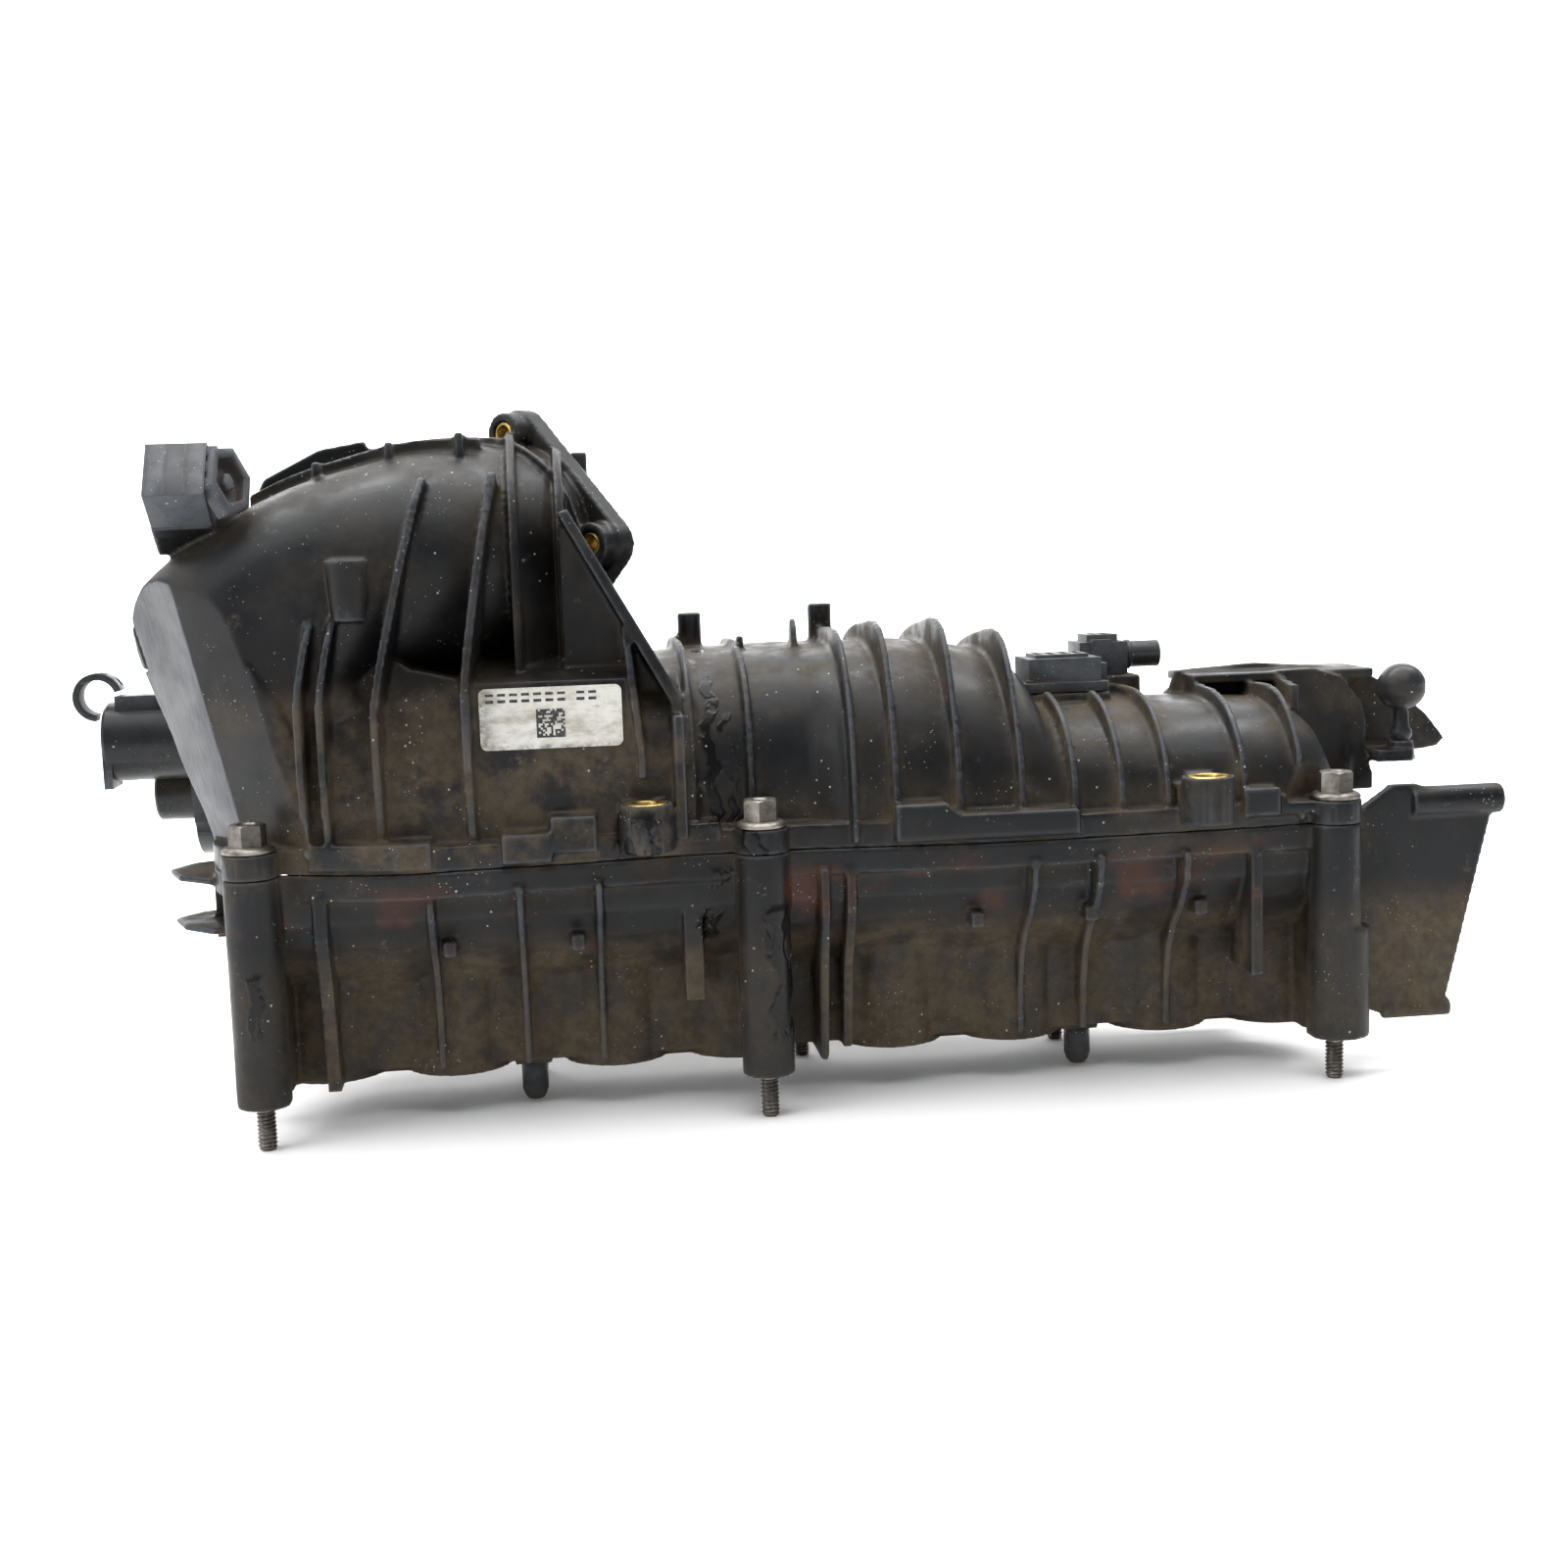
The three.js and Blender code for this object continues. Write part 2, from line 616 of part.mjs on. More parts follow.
function lowerShell() {
  const outer = join(
    prism("z", FLANGE, FLANGE_LOW_Z, JOINT_Z),
    troughs(0),
    ...runners(),
    runnerWebs(),
    columns(),
    ...FRONT_RIBS.map(frontRib),
    ...CYLINDER_X.map(rearRib),
    frontDetails(),
    sideBracket(),
    leftLeaves(),
    rod("x", 8, -177.5, -160, SHAFT_Y, SHAFT_Z, 12),
  );
  const bores = eachPort((x) => rod("z", BORE_R, -1, 42, x, RUNNER_Y, 14));
  const grooves = eachPort((x) => rod("z", SEAL_R + GAP, -1, 2.6, x, RUNNER_Y, 14));
  const sleeves = [
    ...FRONT_BOLT_X.map((x) => rod("z", SLEEVE_R + GAP, -1, 90, x, FRONT_BOLT_Y, 10)),
    ...REAR_BOLT_X.map((x) => rod("z", SLEEVE_R + GAP, -1, 20, x, REAR_BOLT_Y, 10)),
  ];
  const pegs = PEG_X.map((x) => rod("z", 3.3, -1, 11, x, PEG_Y, 14));
  return cut(
    outer,
    troughs(WALL),
    ...bores,
    ...grooves,
    ...sleeves,
    ...pegs,
    rod("x", SHAFT_R + GAP, -190, SHAFT_RIGHT_X + 1, SHAFT_Y, SHAFT_Z, 12),
    rod("x", 5.4 + GAP, -190, -171, SHAFT_Y, SHAFT_Z, 12),
    rod("x", 5.4 + GAP, 120, SHAFT_RIGHT_X + 1, SHAFT_Y, SHAFT_Z, 12),
  );
}

// ---- Fasteners, seals and small fittings ----
function flangeBolt(x, y, seatZ) {
  const seat = seatZ + GAP;
  return join(
    rod("z", SHANK_R, BOLT_TIP_Z + 1.5, seat + 0.5, x, y, 10),
    rod("z", 2, BOLT_TIP_Z, BOLT_TIP_Z + 1.5, x, y, 10, SHANK_R),
    rod("z", 8, seat, seat + 1.6, x, y, 14, 7.4),
    rod("z", 5.77, seat + 1, seat + 8.8, x, y, 6),
  );
}
const sleeve = (x, y, topZ) => pipe("z", SLEEVE_R, SHANK_R + 0.4, GAP, topZ, x, y, 10);

function portSeal(x) {
  const inner = BORE_R + 0.6;
  const profile = [[inner, -0.6], [SEAL_R, -0.6], [SEAL_R, 2.3], [inner, 2.3], [inner, -0.6]];
  const ring = new THREE.LatheGeometry(profile.map(([r, z]) => new THREE.Vector2(r, z)), 14);
  return solid(ring.rotateX(Math.PI / 2).translate(x, RUNNER_Y, 0));
}

const inletSeal = () => atInlet(pipe("x", INLET_SEAL_R, INLET_BORE_R + 0.5, -2.3, 0.5, 0, 0, 20));
const inletInsert = ([y, z]) => atInlet(pipe("x", 3.9, 2.6, -12.7, -0.1, y, z, 10));
const bossInsert = ([x, y]) => pipe("z", INSERT_R, 4, BOSS_LOW_Z + 2 + GAP, BOSS_TOP_Z + 0.2, x, y, 12);

function locatingPeg(x) {
  const body = join(
    rod("z", 3, -GAP * 2, 10, x, PEG_Y, 14),
    rod("z", PEG_R, -9, -GAP, x, PEG_Y, 16),
    rod("z", 2.8, -12.5, -9, x, PEG_Y, 16, PEG_R),
  );
  return cut(body, box(x - 0.7, x + 0.7, PEG_Y - 6, PEG_Y + 6, -13, -2));
}

function label() {
  const corner = 2;
  const [x0, x1, z0, z1] = [-103.5, -60.5, 105.3, 124];
  const outline = [
    ...arcPoints(x1 - corner, z1 - corner, corner, 0, 90, 3),
    ...arcPoints(x0 + corner, z1 - corner, corner, 90, 180, 3),
    ...arcPoints(x0 + corner, z0 + corner, corner, 180, 270, 3),
    ...arcPoints(x1 - corner, z0 + corner, corner, 270, 360, 3),
  ];
  return prism("y", outline, -38.6, -38.3);
}

function ballStud() {
  const [x, y] = BALL_PLACE;
  const ball = new THREE.SphereGeometry(BALL_R, 12, 8).rotateX(Math.PI / 2).translate(x, y, BALL_Z);
  return join(solid(ball), rod("z", 2.2, 84.5, 104, x, y, 12));
}

function pressureSensor() {
  return join(
    box(74, 102, -2, 22, 112.3, 118),
    box(75.5, 100.5, 0, 20, 117, 124),
    box(96, 104, 5, 15, 114, 121),
    rod("z", 4.4, 100, 113, 87, 10, 14),
  );
}
function temperatureSensor() {
  return join(
    box(101, 118, 28, 44, 115.3, 126.5),
    box(104, 115, 30, 42, 126, 129),
    rod("x", 4.6, 116, 131, 36, 121.5, 16),
    rod("z", 4, 101, 116, 109, 36, 14),
  );
}

function cableConnector() {
  const body = solid(leanBack(new THREE.BoxGeometry(19, 15, 25)));
  const slot = solid(leanBack(new THREE.BoxGeometry(15, 11, 12).translate(0, 0, 10)));
  return cut(body, slot);
}
function connectorLatch() {
  const ring = [0, 1, 2, 3, 4, 5].map((i) => [
    9 * Math.cos(degrees(60 * i)),
    13 * Math.sin(degrees(60 * i)),
  ]);
  const body = solid(leanBack(prismGeometry("x", ring, 10.2, 16)));
  const hole = solid(leanBack(prismGeometry("x", ring.map(([u, v]) => [u * 0.6, v * 0.6]), 12.5, 17)));
  return cut(body, hole);
}

function cableClip() {
  const outline = [
    ...arcPoints(...CLIP_CENTRE, 8.2, 15, 262, 10),
    ...arcPoints(...CLIP_CENTRE, 6.2, 262, 15, 10),
  ];
  return prism("y", outline, 54, 62);
}

// ---- Swirl flaps ----
const leverPin = (axis, angle) => [
  axis[0] + LEVER_ARM * Math.cos(degrees(angle)),
  axis[1] + LEVER_ARM * Math.sin(degrees(angle)),
];
const SHAFT_AXIS = [SHAFT_Y, SHAFT_Z];
const SHAFT_PIN = leverPin(SHAFT_AXIS, LEVER_REST);
const OUTPUT_PIN = leverPin(OUTPUT_AXIS, LEVER_REST);

function lever(axis, pin, holeR) {
  const [x0, x1] = LEVER_X;
  const along = Math.atan2(pin[1] - axis[1], pin[0] - axis[0]);
  const arm = new THREE.BoxGeometry(x1 - x0, LEVER_ARM, 6).translate(0, LEVER_ARM / 2, 0);
  arm.rotateX(along).translate((x0 + x1) / 2, ...axis);
  const hub = rod("x", LEVER_HUB_R, x0, x1, ...axis, 14);
  const plate = join(solid(arm), hub, rod("x", 4.4, x0, x1, ...pin, 12));
  const bored = cut(plate, rod("x", holeR, x0 - 1, x1 + 1, ...axis, 12));
  return join(bored, rod("x", PIN_R, x1 - 1, ROD_X[1] + 0.4, ...pin, 12));
}

function linkRod() {
  const [x0, x1] = ROD_X;
  const [y0, z0] = SHAFT_PIN;
  const [y1, z1] = OUTPUT_PIN;
  const length = Math.hypot(y1 - y0, z1 - z0);
  const bar = new THREE.BoxGeometry(x1 - x0, length, 4.4).rotateX(Math.atan2(z1 - z0, y1 - y0));
  bar.translate((x0 + x1) / 2, (y0 + y1) / 2, (z0 + z1) / 2);
  const eyes = [SHAFT_PIN, OUTPUT_PIN].map((pin) => rod("x", 4.8, x0, x1, ...pin, 14));
  const holes = [SHAFT_PIN, OUTPUT_PIN].map((pin) => rod("x", PIN_R + 0.3, x0 - 1, x1 + 1, ...pin, 14));
  return cut(join(solid(bar), ...eyes), ...holes);
}

const swirlShaft = () => rod("x", SHAFT_R, SHAFT_LEFT_X, SHAFT_RIGHT_X, SHAFT_Y, SHAFT_Z, 10);
function swirlFlap(x) {
  const disc = rod("y", FLAP_R, SHAFT_Y - 1.1, SHAFT_Y + 1.1, x, SHAFT_Z, 16);
  const hub = rod("x", 4.4, x - 9, x + 9, SHAFT_Y, SHAFT_Z, 10);
  return cut(join(disc, hub), rod("x", SHAFT_R + 0.15, x - 20, x + 20, SHAFT_Y, SHAFT_Z, 10));
}
const shaftBush = (x0, x1) => pipe("x", 5.4, SHAFT_R + 0.25, x0, x1, SHAFT_Y, SHAFT_Z, 12);

// ---- Actuator ----
const pitchR = (teeth) => (GEAR_MODULE * teeth) / 2;
function meetingPoint(a, b, fromA, fromB) {
  const [dy, dz] = [b[0] - a[0], b[1] - a[1]];
  const span = Math.hypot(dy, dz);
  const along = (fromA ** 2 - fromB ** 2 + span ** 2) / (2 * span);
  const aside = Math.sqrt(fromA ** 2 - along ** 2);
  return [a[0] + (dy * along + dz * aside) / span, a[1] + (dz * along - dy * aside) / span];
}
const IDLER_AXIS = meetingPoint(
  OUTPUT_AXIS,
  MOTOR_AXIS,
  pitchR(OUTPUT_TEETH) + pitchR(IDLER_SMALL_TEETH),
  pitchR(IDLER_BIG_TEETH) + pitchR(PINION_TEETH),
);
const heading = (from, to) => (Math.atan2(to[1] - from[1], to[0] - from[0]) * 180) / Math.PI;

// A gear with straight-sided teeth. A tooth (offset 0) or a gap (offset 0.5) faces `towards`.
function gearOutline(axis, teeth, towards, offset, first = 0, last = teeth - 1) {
  const pitch = 360 / teeth;
  const radius = pitchR(teeth);
  const [tip, root] = [radius + 0.75 * GEAR_MODULE, radius - 1.2 * GEAR_MODULE];
  const halfWidth = (circleR) => {
    const atPitch = 0.25 * Math.PI * GEAR_MODULE * TOOTH_SHARE;
    return ((atPitch + (radius - circleR) * Math.tan(degrees(20))) / circleR) * (180 / Math.PI);
  };
  const points = [];
  for (let i = first; i <= last; i++) {
    const middle = towards + (i + offset) * pitch;
    const corners = [
      [root, -halfWidth(root)],
      [tip, -halfWidth(tip)],
      [tip, halfWidth(tip)],
      [root, halfWidth(root)],
    ];
    for (const [circleR, shift] of corners) {
      const angle = degrees(middle + shift);
      points.push([axis[0] + circleR * Math.cos(angle), axis[1] + circleR * Math.sin(angle)]);
    }
  }
  return points;
}

const GEAR_PLANE_A = [-194.6, -190.6];
const GEAR_PLANE_B = [-199.6, -195];

function actuatorOutline(extra) {
  const circles = [
    [OUTPUT_AXIS, pitchR(OUTPUT_TEETH) + 3],
    [IDLER_AXIS, pitchR(IDLER_BIG_TEETH) + 3.2],
    [MOTOR_AXIS, 12.5],
  ];
  const points = [];
  for (let step = 0; step < 20; step++) {
    const angle = degrees(step * 18);
    const way = [Math.cos(angle), Math.sin(angle)];
    const reach = ([[y, z], radius]) => y * way[0] + z * way[1] + radius + extra;
    const best = circles.reduce((one, two) => (reach(one) > reach(two) ? one : two));
    const [[y, z], radius] = best;
    points.push([y + (radius + extra) * way[0], z + (radius + extra) * way[1]]);
  }
  return points;
}

function actuatorHousing() {
  const ears = SCREW_PLACES.map(([y, z]) => rod("x", 5, -193, -187.4, y, z, 14));
  const arms = SCREW_PLACES.map(([y, z]) => {
    const angle = Math.atan2(z - 94, y - 68);
    const arm = new THREE.BoxGeometry(4.4, 20, 8).translate(0, -9, 0).rotateX(angle);
    return solid(arm.translate(-190.8, y, z));
  });
  const outer = join(
    prism("x", actuatorOutline(CASE_WALL), CASE_LEFT_X, CASE_RIGHT_X),
    rod("x", BARREL_R, BARREL_LEFT_X, CASE_LEFT_X + 1, ...MOTOR_AXIS, 24),
    rod("x", 9, -219, CASE_LEFT_X + 1, ...OUTPUT_AXIS, 18),
    box(-228, -206, 50, 62, 112, 120),
    box(BARREL_LEFT_X, BARREL_LEFT_X + 3, 46, 62, 89, 106),
    ...ears,
    ...arms,
  );
  const earTips = SCREW_PLACES.map(([y, z]) => rod("x", 5, -193, -180, y, z, 14));
  const coverSide = cut(prism("x", actuatorOutline(8), CASE_RIGHT_X, -180), ...earTips);
  return cut(
    outer,
    coverSide,
    prism("x", actuatorOutline(0), CASE_LEFT_X + CASE_WALL, CASE_RIGHT_X + 1),
    rod("x", MOTOR_R + GAP, BARREL_LEFT_X + CASE_WALL, CASE_LEFT_X + 4, ...MOTOR_AXIS, 24),
    rod("x", 3.3, -214, CASE_LEFT_X + 4, ...OUTPUT_AXIS, 16),
    rod("x", 1.8, CASE_LEFT_X + 0.8, CASE_LEFT_X + 4, ...IDLER_AXIS, 12),
    ...SCREW_PLACES.map(([y, z]) => rod("x", 2.3, -200, -187, y, z, 10)),
    ...SCREW_PLACES.map(([y, z]) => rod("x", 4.5, -206, -193, y, z, 12)),
  );
}

function actuatorCover() {
  const plate = prism("x", actuatorOutline(CASE_WALL), CASE_RIGHT_X + GAP, COVER_RIGHT_X);
  const clear = SCREW_PLACES.map(([y, z]) => rod("x", 5.4, -195, -180, y, z, 14));
  return cut(
    plate,
    rod("x", 3.3, -195, -180, ...OUTPUT_AXIS, 16),
    rod("x", 1.8, -195, -188.2, ...IDLER_AXIS, 12),
    ...clear,
  );
}

const motorCan = () =>
  cut(
    rod("x", MOTOR_R, BARREL_LEFT_X + CASE_WALL + GAP, CASE_LEFT_X + 2.2, ...MOTOR_AXIS, 20),
    rod("x", 1.6, -210, -195, ...MOTOR_AXIS, 12),
  );

function motorPinion() {
  const outline = gearOutline(MOTOR_AXIS, PINION_TEETH, heading(MOTOR_AXIS, IDLER_AXIS), 0);
  const teeth = prism("x", outline, ...GEAR_PLANE_A);
  return join(teeth, rod("x", 1.2, -209.5, GEAR_PLANE_A[1], ...MOTOR_AXIS, 12));
}
function idlerGear() {
  const bigTeeth = gearOutline(IDLER_AXIS, IDLER_BIG_TEETH, heading(IDLER_AXIS, MOTOR_AXIS), 0.5);
  const smallTeeth = gearOutline(IDLER_AXIS, IDLER_SMALL_TEETH, heading(IDLER_AXIS, OUTPUT_AXIS), 0);
  const big = prism("x", bigTeeth, ...GEAR_PLANE_A);
  const small = prism("x", smallTeeth, GEAR_PLANE_B[0], GEAR_PLANE_A[0] + 1);
  return cut(join(big, small), rod("x", 1.8, -210, -180, ...IDLER_AXIS, 12));
}
const idlerPin = () => rod("x", 1.5, CASE_LEFT_X + 1.2, -188.5, ...IDLER_AXIS, 12);

function outputGear() {
  const facing = heading(OUTPUT_AXIS, IDLER_AXIS);
  const arc = gearOutline(OUTPUT_AXIS, OUTPUT_TEETH, facing, 0.5, -11, 2);
  const hub = arcPoints(...OUTPUT_AXIS, 6, facing + 40, facing + 240, 10);
  const sector = prism("x", [...arc, ...hub], ...GEAR_PLANE_B);
  return join(sector, rod("x", 2.8, -213, -181, ...OUTPUT_AXIS, 14));
}

function actuatorScrew([y, z]) {
  return join(rod("x", 1.7, -193.3, -178, y, z, 10), rod("x", 4, -196, -193.3, y, z, 12));
}

// ---- Materials ----
const finish = (color, roughness, metalness) =>
  new THREE.MeshStandardMaterial({ color, roughness, metalness });
const nylon = finish(0x2a2c2e, 0.55, 0);
const darkNylon = finish(0x1d1e20, 0.5, 0);
const greyNylon = finish(0x4a4d50, 0.6, 0);
const zincSteel = finish(0xa9a9a6, 0.4, 1);
const brass = finish(0xb89a45, 0.4, 1);
const rubber = finish(0x141414, 0.8, 0);
const paper = finish(0xd8d6cd, 0.6, 0);
const acetal = finish(0xc9c4b5, 0.5, 0);

// ---- Assembly ----
const manifold = new THREE.Group();

function add(name, body, material) {
  const made = body.getMesh();
  const geometry = new THREE.BufferGeometry();
  geometry.setAttribute("position", new THREE.BufferAttribute(new Float32Array(made.vertProperties), 3));
  geometry.setIndex(new THREE.BufferAttribute(new Uint32Array(made.triVerts), 1));
  const flat = geometry.toNonIndexed();
  flat.computeVertexNormals();
  const mesh = new THREE.Mesh(flat, material);
  mesh.name = name;
  manifold.add(mesh);
}

add("lower_shell", lowerShell(), nylon);
add("upper_shell", upperShell(), nylon);
add("elbow_rear_cover", elbowRearCover(), nylon);
FRONT_BOLT_X.forEach((x, i) => {
  add(`front_bolt_${i + 1}`, flangeBolt(x, FRONT_BOLT_Y, FLANGE_TOP_Z), zincSteel);
  add(`front_sleeve_${i + 1}`, sleeve(x, FRONT_BOLT_Y, FLANGE_TOP_Z), zincSteel);
});
REAR_BOLT_X.forEach((x, i) => {
  add(`rear_bolt_${i + 1}`, flangeBolt(x, REAR_BOLT_Y, REAR_LUG_Z), zincSteel);
  add(`rear_sleeve_${i + 1}`, sleeve(x, REAR_BOLT_Y, REAR_LUG_Z), zincSteel);
});
eachPort((x) => x).forEach((x, i) => add(`port_seal_${i + 1}`, portSeal(x), rubber));
add("inlet_seal", inletSeal(), rubber);
lugPlaces.forEach((place, i) => add(`inlet_insert_${i + 1}`, inletInsert(place), brass));
BOSSES.forEach((place, i) => add(`boss_insert_${i + 1}`, bossInsert(place), brass));
PEG_X.forEach((x, i) => add(`locating_peg_${i + 1}`, locatingPeg(x), darkNylon));
add("label", label(), paper);
add("ball_stud", ballStud(), darkNylon);
add("pressure_sensor", pressureSensor(), greyNylon);
add("temperature_sensor", temperatureSensor(), greyNylon);
add("cable_connector", cableConnector(), darkNylon);
add("connector_latch", connectorLatch(), darkNylon);
add("cable_clip", cableClip(), darkNylon);
add("swirl_shaft", swirlShaft(), zincSteel);
CYLINDER_X.forEach((x, i) => add(`swirl_flap_${i + 1}`, swirlFlap(x - PORT_OFFSET), acetal));
add("shaft_bush_left", shaftBush(-177.3, -171.3), acetal);
add("shaft_bush_right", shaftBush(129.5, SHAFT_RIGHT_X - 0.2), acetal);
add("shaft_lever", lever(SHAFT_AXIS, SHAFT_PIN, SHAFT_R + 0.2), darkNylon);
add("link_rod", linkRod(), darkNylon);
add("actuator_housing", actuatorHousing(), darkNylon);
add("actuator_cover", actuatorCover(), darkNylon);
add("motor_can", motorCan(), zincSteel);
add("motor_pinion", motorPinion(), brass);
add("idler_pin", idlerPin(), zincSteel);
add("idler_gear", idlerGear(), acetal);
add("output_gear", outputGear(), acetal);
add("output_lever", lever(OUTPUT_AXIS, OUTPUT_PIN, 3.05), zincSteel);
SCREW_PLACES.forEach((place, i) => add(`actuator_screw_${i + 1}`, actuatorScrew(place), zincSteel));

export default manifold;
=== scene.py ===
# Looks of a used plastic intake manifold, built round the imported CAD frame.
# Lengths are in millimetres until a mesh is made; X along the engine, +Y back, +Z up.
import math
import random
import bmesh
import bpy
import numpy as np
from mathutils import Matrix, Vector


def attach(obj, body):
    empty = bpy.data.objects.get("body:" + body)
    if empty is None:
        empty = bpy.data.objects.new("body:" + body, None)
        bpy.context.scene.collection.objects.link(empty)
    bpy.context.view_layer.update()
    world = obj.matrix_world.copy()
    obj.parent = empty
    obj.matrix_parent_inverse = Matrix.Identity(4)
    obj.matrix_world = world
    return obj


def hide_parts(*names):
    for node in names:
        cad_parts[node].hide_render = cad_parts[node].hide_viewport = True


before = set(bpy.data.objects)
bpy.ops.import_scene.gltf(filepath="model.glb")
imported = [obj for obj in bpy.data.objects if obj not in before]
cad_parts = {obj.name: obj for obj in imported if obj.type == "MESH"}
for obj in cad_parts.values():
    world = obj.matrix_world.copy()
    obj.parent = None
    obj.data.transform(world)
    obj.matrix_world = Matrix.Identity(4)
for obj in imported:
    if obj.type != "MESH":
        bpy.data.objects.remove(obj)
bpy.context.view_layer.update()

MM = 0.001
scene = bpy.context.scene
SEED = 7
VOXEL = 0.8
MOST_FACES = 196000
SIDES = 72
ELBOW_STEPS = 60
PLENUM_STEPS = 110

# ---- Sizes shared with the CAD frame ----
CYLINDER_PITCH = 91
CYLINDERS = [step * CYLINDER_PITCH for step in (-1.5, -0.5, 0.5, 1.5)]
PORT_OFFSET = 20
RUNNER_Y = -2
PORTS = [(x + side, RUNNER_Y) for x in CYLINDERS for side in (-PORT_OFFSET, PORT_OFFSET)]
RUNNER_R = 17.5
BORE_R = 12.2
SEAL_R = 15.4
WALL = 3
GAP = 0.3
JOINT_Z = 70
FLANGE_LOW_Z = 62
FLANGE_TOP_Z = 77.7
FRONT_BOLTS = [(-174, -38), (-19.2, -38), (166, -38)]
REAR_BOLTS = [(-CYLINDER_PITCH, 32), (0, 32), (CYLINDER_PITCH, 32)]
REAR_LUG_Z = 12
BOLT_TIP_Z = -14
COLUMN_R = 8.25
SLEEVE_R = 4.6
PEGS = [(-92.5, -5), (89, -5)]
BOSSES = [(-54.8, -45), (121.5, -45)]
BOSS_R = 8.3
BOSS_TOP_Z = 88
BOSS_LOW_Z = 73
INSERT_R = 6.6
POCKET_Y = -52
POCKET_DEEP = 23
POCKETS = [(20, 24), (10.5, 13), (20, 24)]
SHAFT_Y, SHAFT_Z, SHAFT_R = -2, 20, 2.9
BUSH_R = 5.4
SHAFT_LEFT_X, SHAFT_RIGHT_X = -186, 134
OUTPUT_AXIS = (68, 84)
MOTOR_AXIS = (58, 104)
IDLER_AXIS = (76.37, 103.04)
SCREW_PLACES = [(38, 112), (94, 92), (46, 72)]
LEVER_ARM = 14
LEVER_REST = -87.5
LEVER_X = (-184.5, -180.5)
ROD_X = (-180.2, -177.2)
INLET_CENTRE = Vector((-84, 30, 166))
INLET_TURN = 45
INLET_LUG_RADIUS = 36.5
INLET_BORE_R = 25.5
INLET_SEAL_R = 28.6
BALL_PLACE = (206, 2)
BALL_Z = 109
CONNECTOR_PLACE = (-190, -22, 187)
CONNECTOR_LEAN = -38
CLIP_CENTRE = (-234.3, 119.6)


# ---- Mesh helpers ----
def power(value, exponent):
    return math.copysign(abs(value) ** exponent, value)


def make(name, verts, faces):
    """A mesh object from millimetre points, with its faces turned outwards."""
    mesh = bpy.data.meshes.new(name)
    mesh.from_pydata([tuple(c * MM for c in v) for v in verts], [], faces)
    bm = bmesh.new()
    bm.from_mesh(mesh)
    bmesh.ops.recalc_face_normals(bm, faces=bm.faces)
    bm.to_mesh(mesh)
    bm.free()
    obj = bpy.data.objects.new(name, mesh)
    scene.collection.objects.link(obj)
    return obj


def along(axis, u, v, depth):
    """Puts plane coordinates u, v and a depth along the axis in X, Y, Z order."""
    if axis == "x":
        return (depth, u, v)
    if axis == "y":
        return (u, depth, v)
    return (u, v, depth)


def prism(axis, points, low, high):
    count = len(points)
    verts = [along(axis, u, v, low) for u, v in points] + [along(axis, u, v, high) for u, v in points]
    faces = [list(range(count)), list(range(count, 2 * count))]
    faces += [[i, (i + 1) % count, count + (i + 1) % count, count + i] for i in range(count)]
    return make("part", verts, faces)


def box(x0, x1, y0, y1, z0, z1):
    return prism("z", [(x0, y0), (x1, y0), (x1, y1), (x0, y1)], z0, z1)


def circle(a, b, radius, sides=40, start=0.0):
    turns = [start + 2 * math.pi * i / sides for i in range(sides)]
    return [(a + radius * math.cos(t), b + radius * math.sin(t)) for t in turns]


def skin_faces(rows, sides, closed=False):
    """The faces between neighbouring rings of points; a closed skin also joins the last to the first."""
    faces = []
    for row in range(rows if closed else rows - 1):
        after = (row + 1) % rows
        for i in range(sides):
            j = (i + 1) % sides
            faces.append([row * sides + i, row * sides + j, after * sides + j, after * sides + i])
    return faces


def circles(axis, profile, a, b, sides):
    return [along(axis, u, v, place) for radius, place in profile for u, v in circle(a, b, radius, sides)]


def turned(axis, profile, a, b, sides=40):
    """A body of revolution: profile is (radius, place along the axis), both ends closed."""
    last = (len(profile) - 1) * sides
    ends = [list(range(sides)), list(range(last, last + sides))]
    return make("part", circles(axis, profile, a, b, sides), skin_faces(len(profile), sides) + ends)


def rod(axis, radius, low, high, a, b, sides=40, high_radius=None):
    top = radius if high_radius is None else high_radius
    return turned(axis, [(radius, low), (top, high)], a, b, sides)


def rods(radius, low, high, places, sides=40, axis="z"):
    """The same rod at several places; a place is the two coordinates across the axis."""
    return [rod(axis, radius, low, high, a, b, sides) for a, b in places]


def ring(axis, outer, inner, low, high, a, b, round_by=0.4, sides=48):
    """A pipe with rounded rims, as one closed skin."""
    r = round_by
    loop = [(outer, low + r), (outer - r, low), (inner + r, low), (inner, low + r)]
    loop += [(inner, high - r), (inner + r, high), (outer - r, high), (outer, high - r)]
    return make("part", circles(axis, loop, a, b, sides), skin_faces(len(loop), sides, closed=True))


def loft(rings):
    """A closed skin through rings of equal length."""
    sides = len(rings[0])
    verts = [tuple(p) for one in rings for p in one]
    faces = skin_faces(len(rings), sides)
    for row in (0, len(rings) - 1):
        centre = [sum(p[k] for p in rings[row]) / sides for k in range(3)]
        verts.append(tuple(centre))
        hub = len(verts) - 1
        faces += [[row * sides + i, row * sides + (i + 1) % sides, hub] for i in range(sides)]
    return make("part", verts, faces)


def placed(obj, matrix):
    """Moves a mesh for good; the matrix is in millimetres."""
    scaled = matrix.copy()
    scaled.translation *= MM
    obj.data.transform(scaled)
    return obj


def frozen(obj):
    """The object's mesh with its modifiers applied."""
    graph = bpy.context.evaluated_depsgraph_get()
    mesh = bpy.data.meshes.new_from_object(obj.evaluated_get(graph))
    old = obj.data
    obj.modifiers.clear()
    obj.data = mesh
    bpy.data.meshes.remove(old)
    return obj


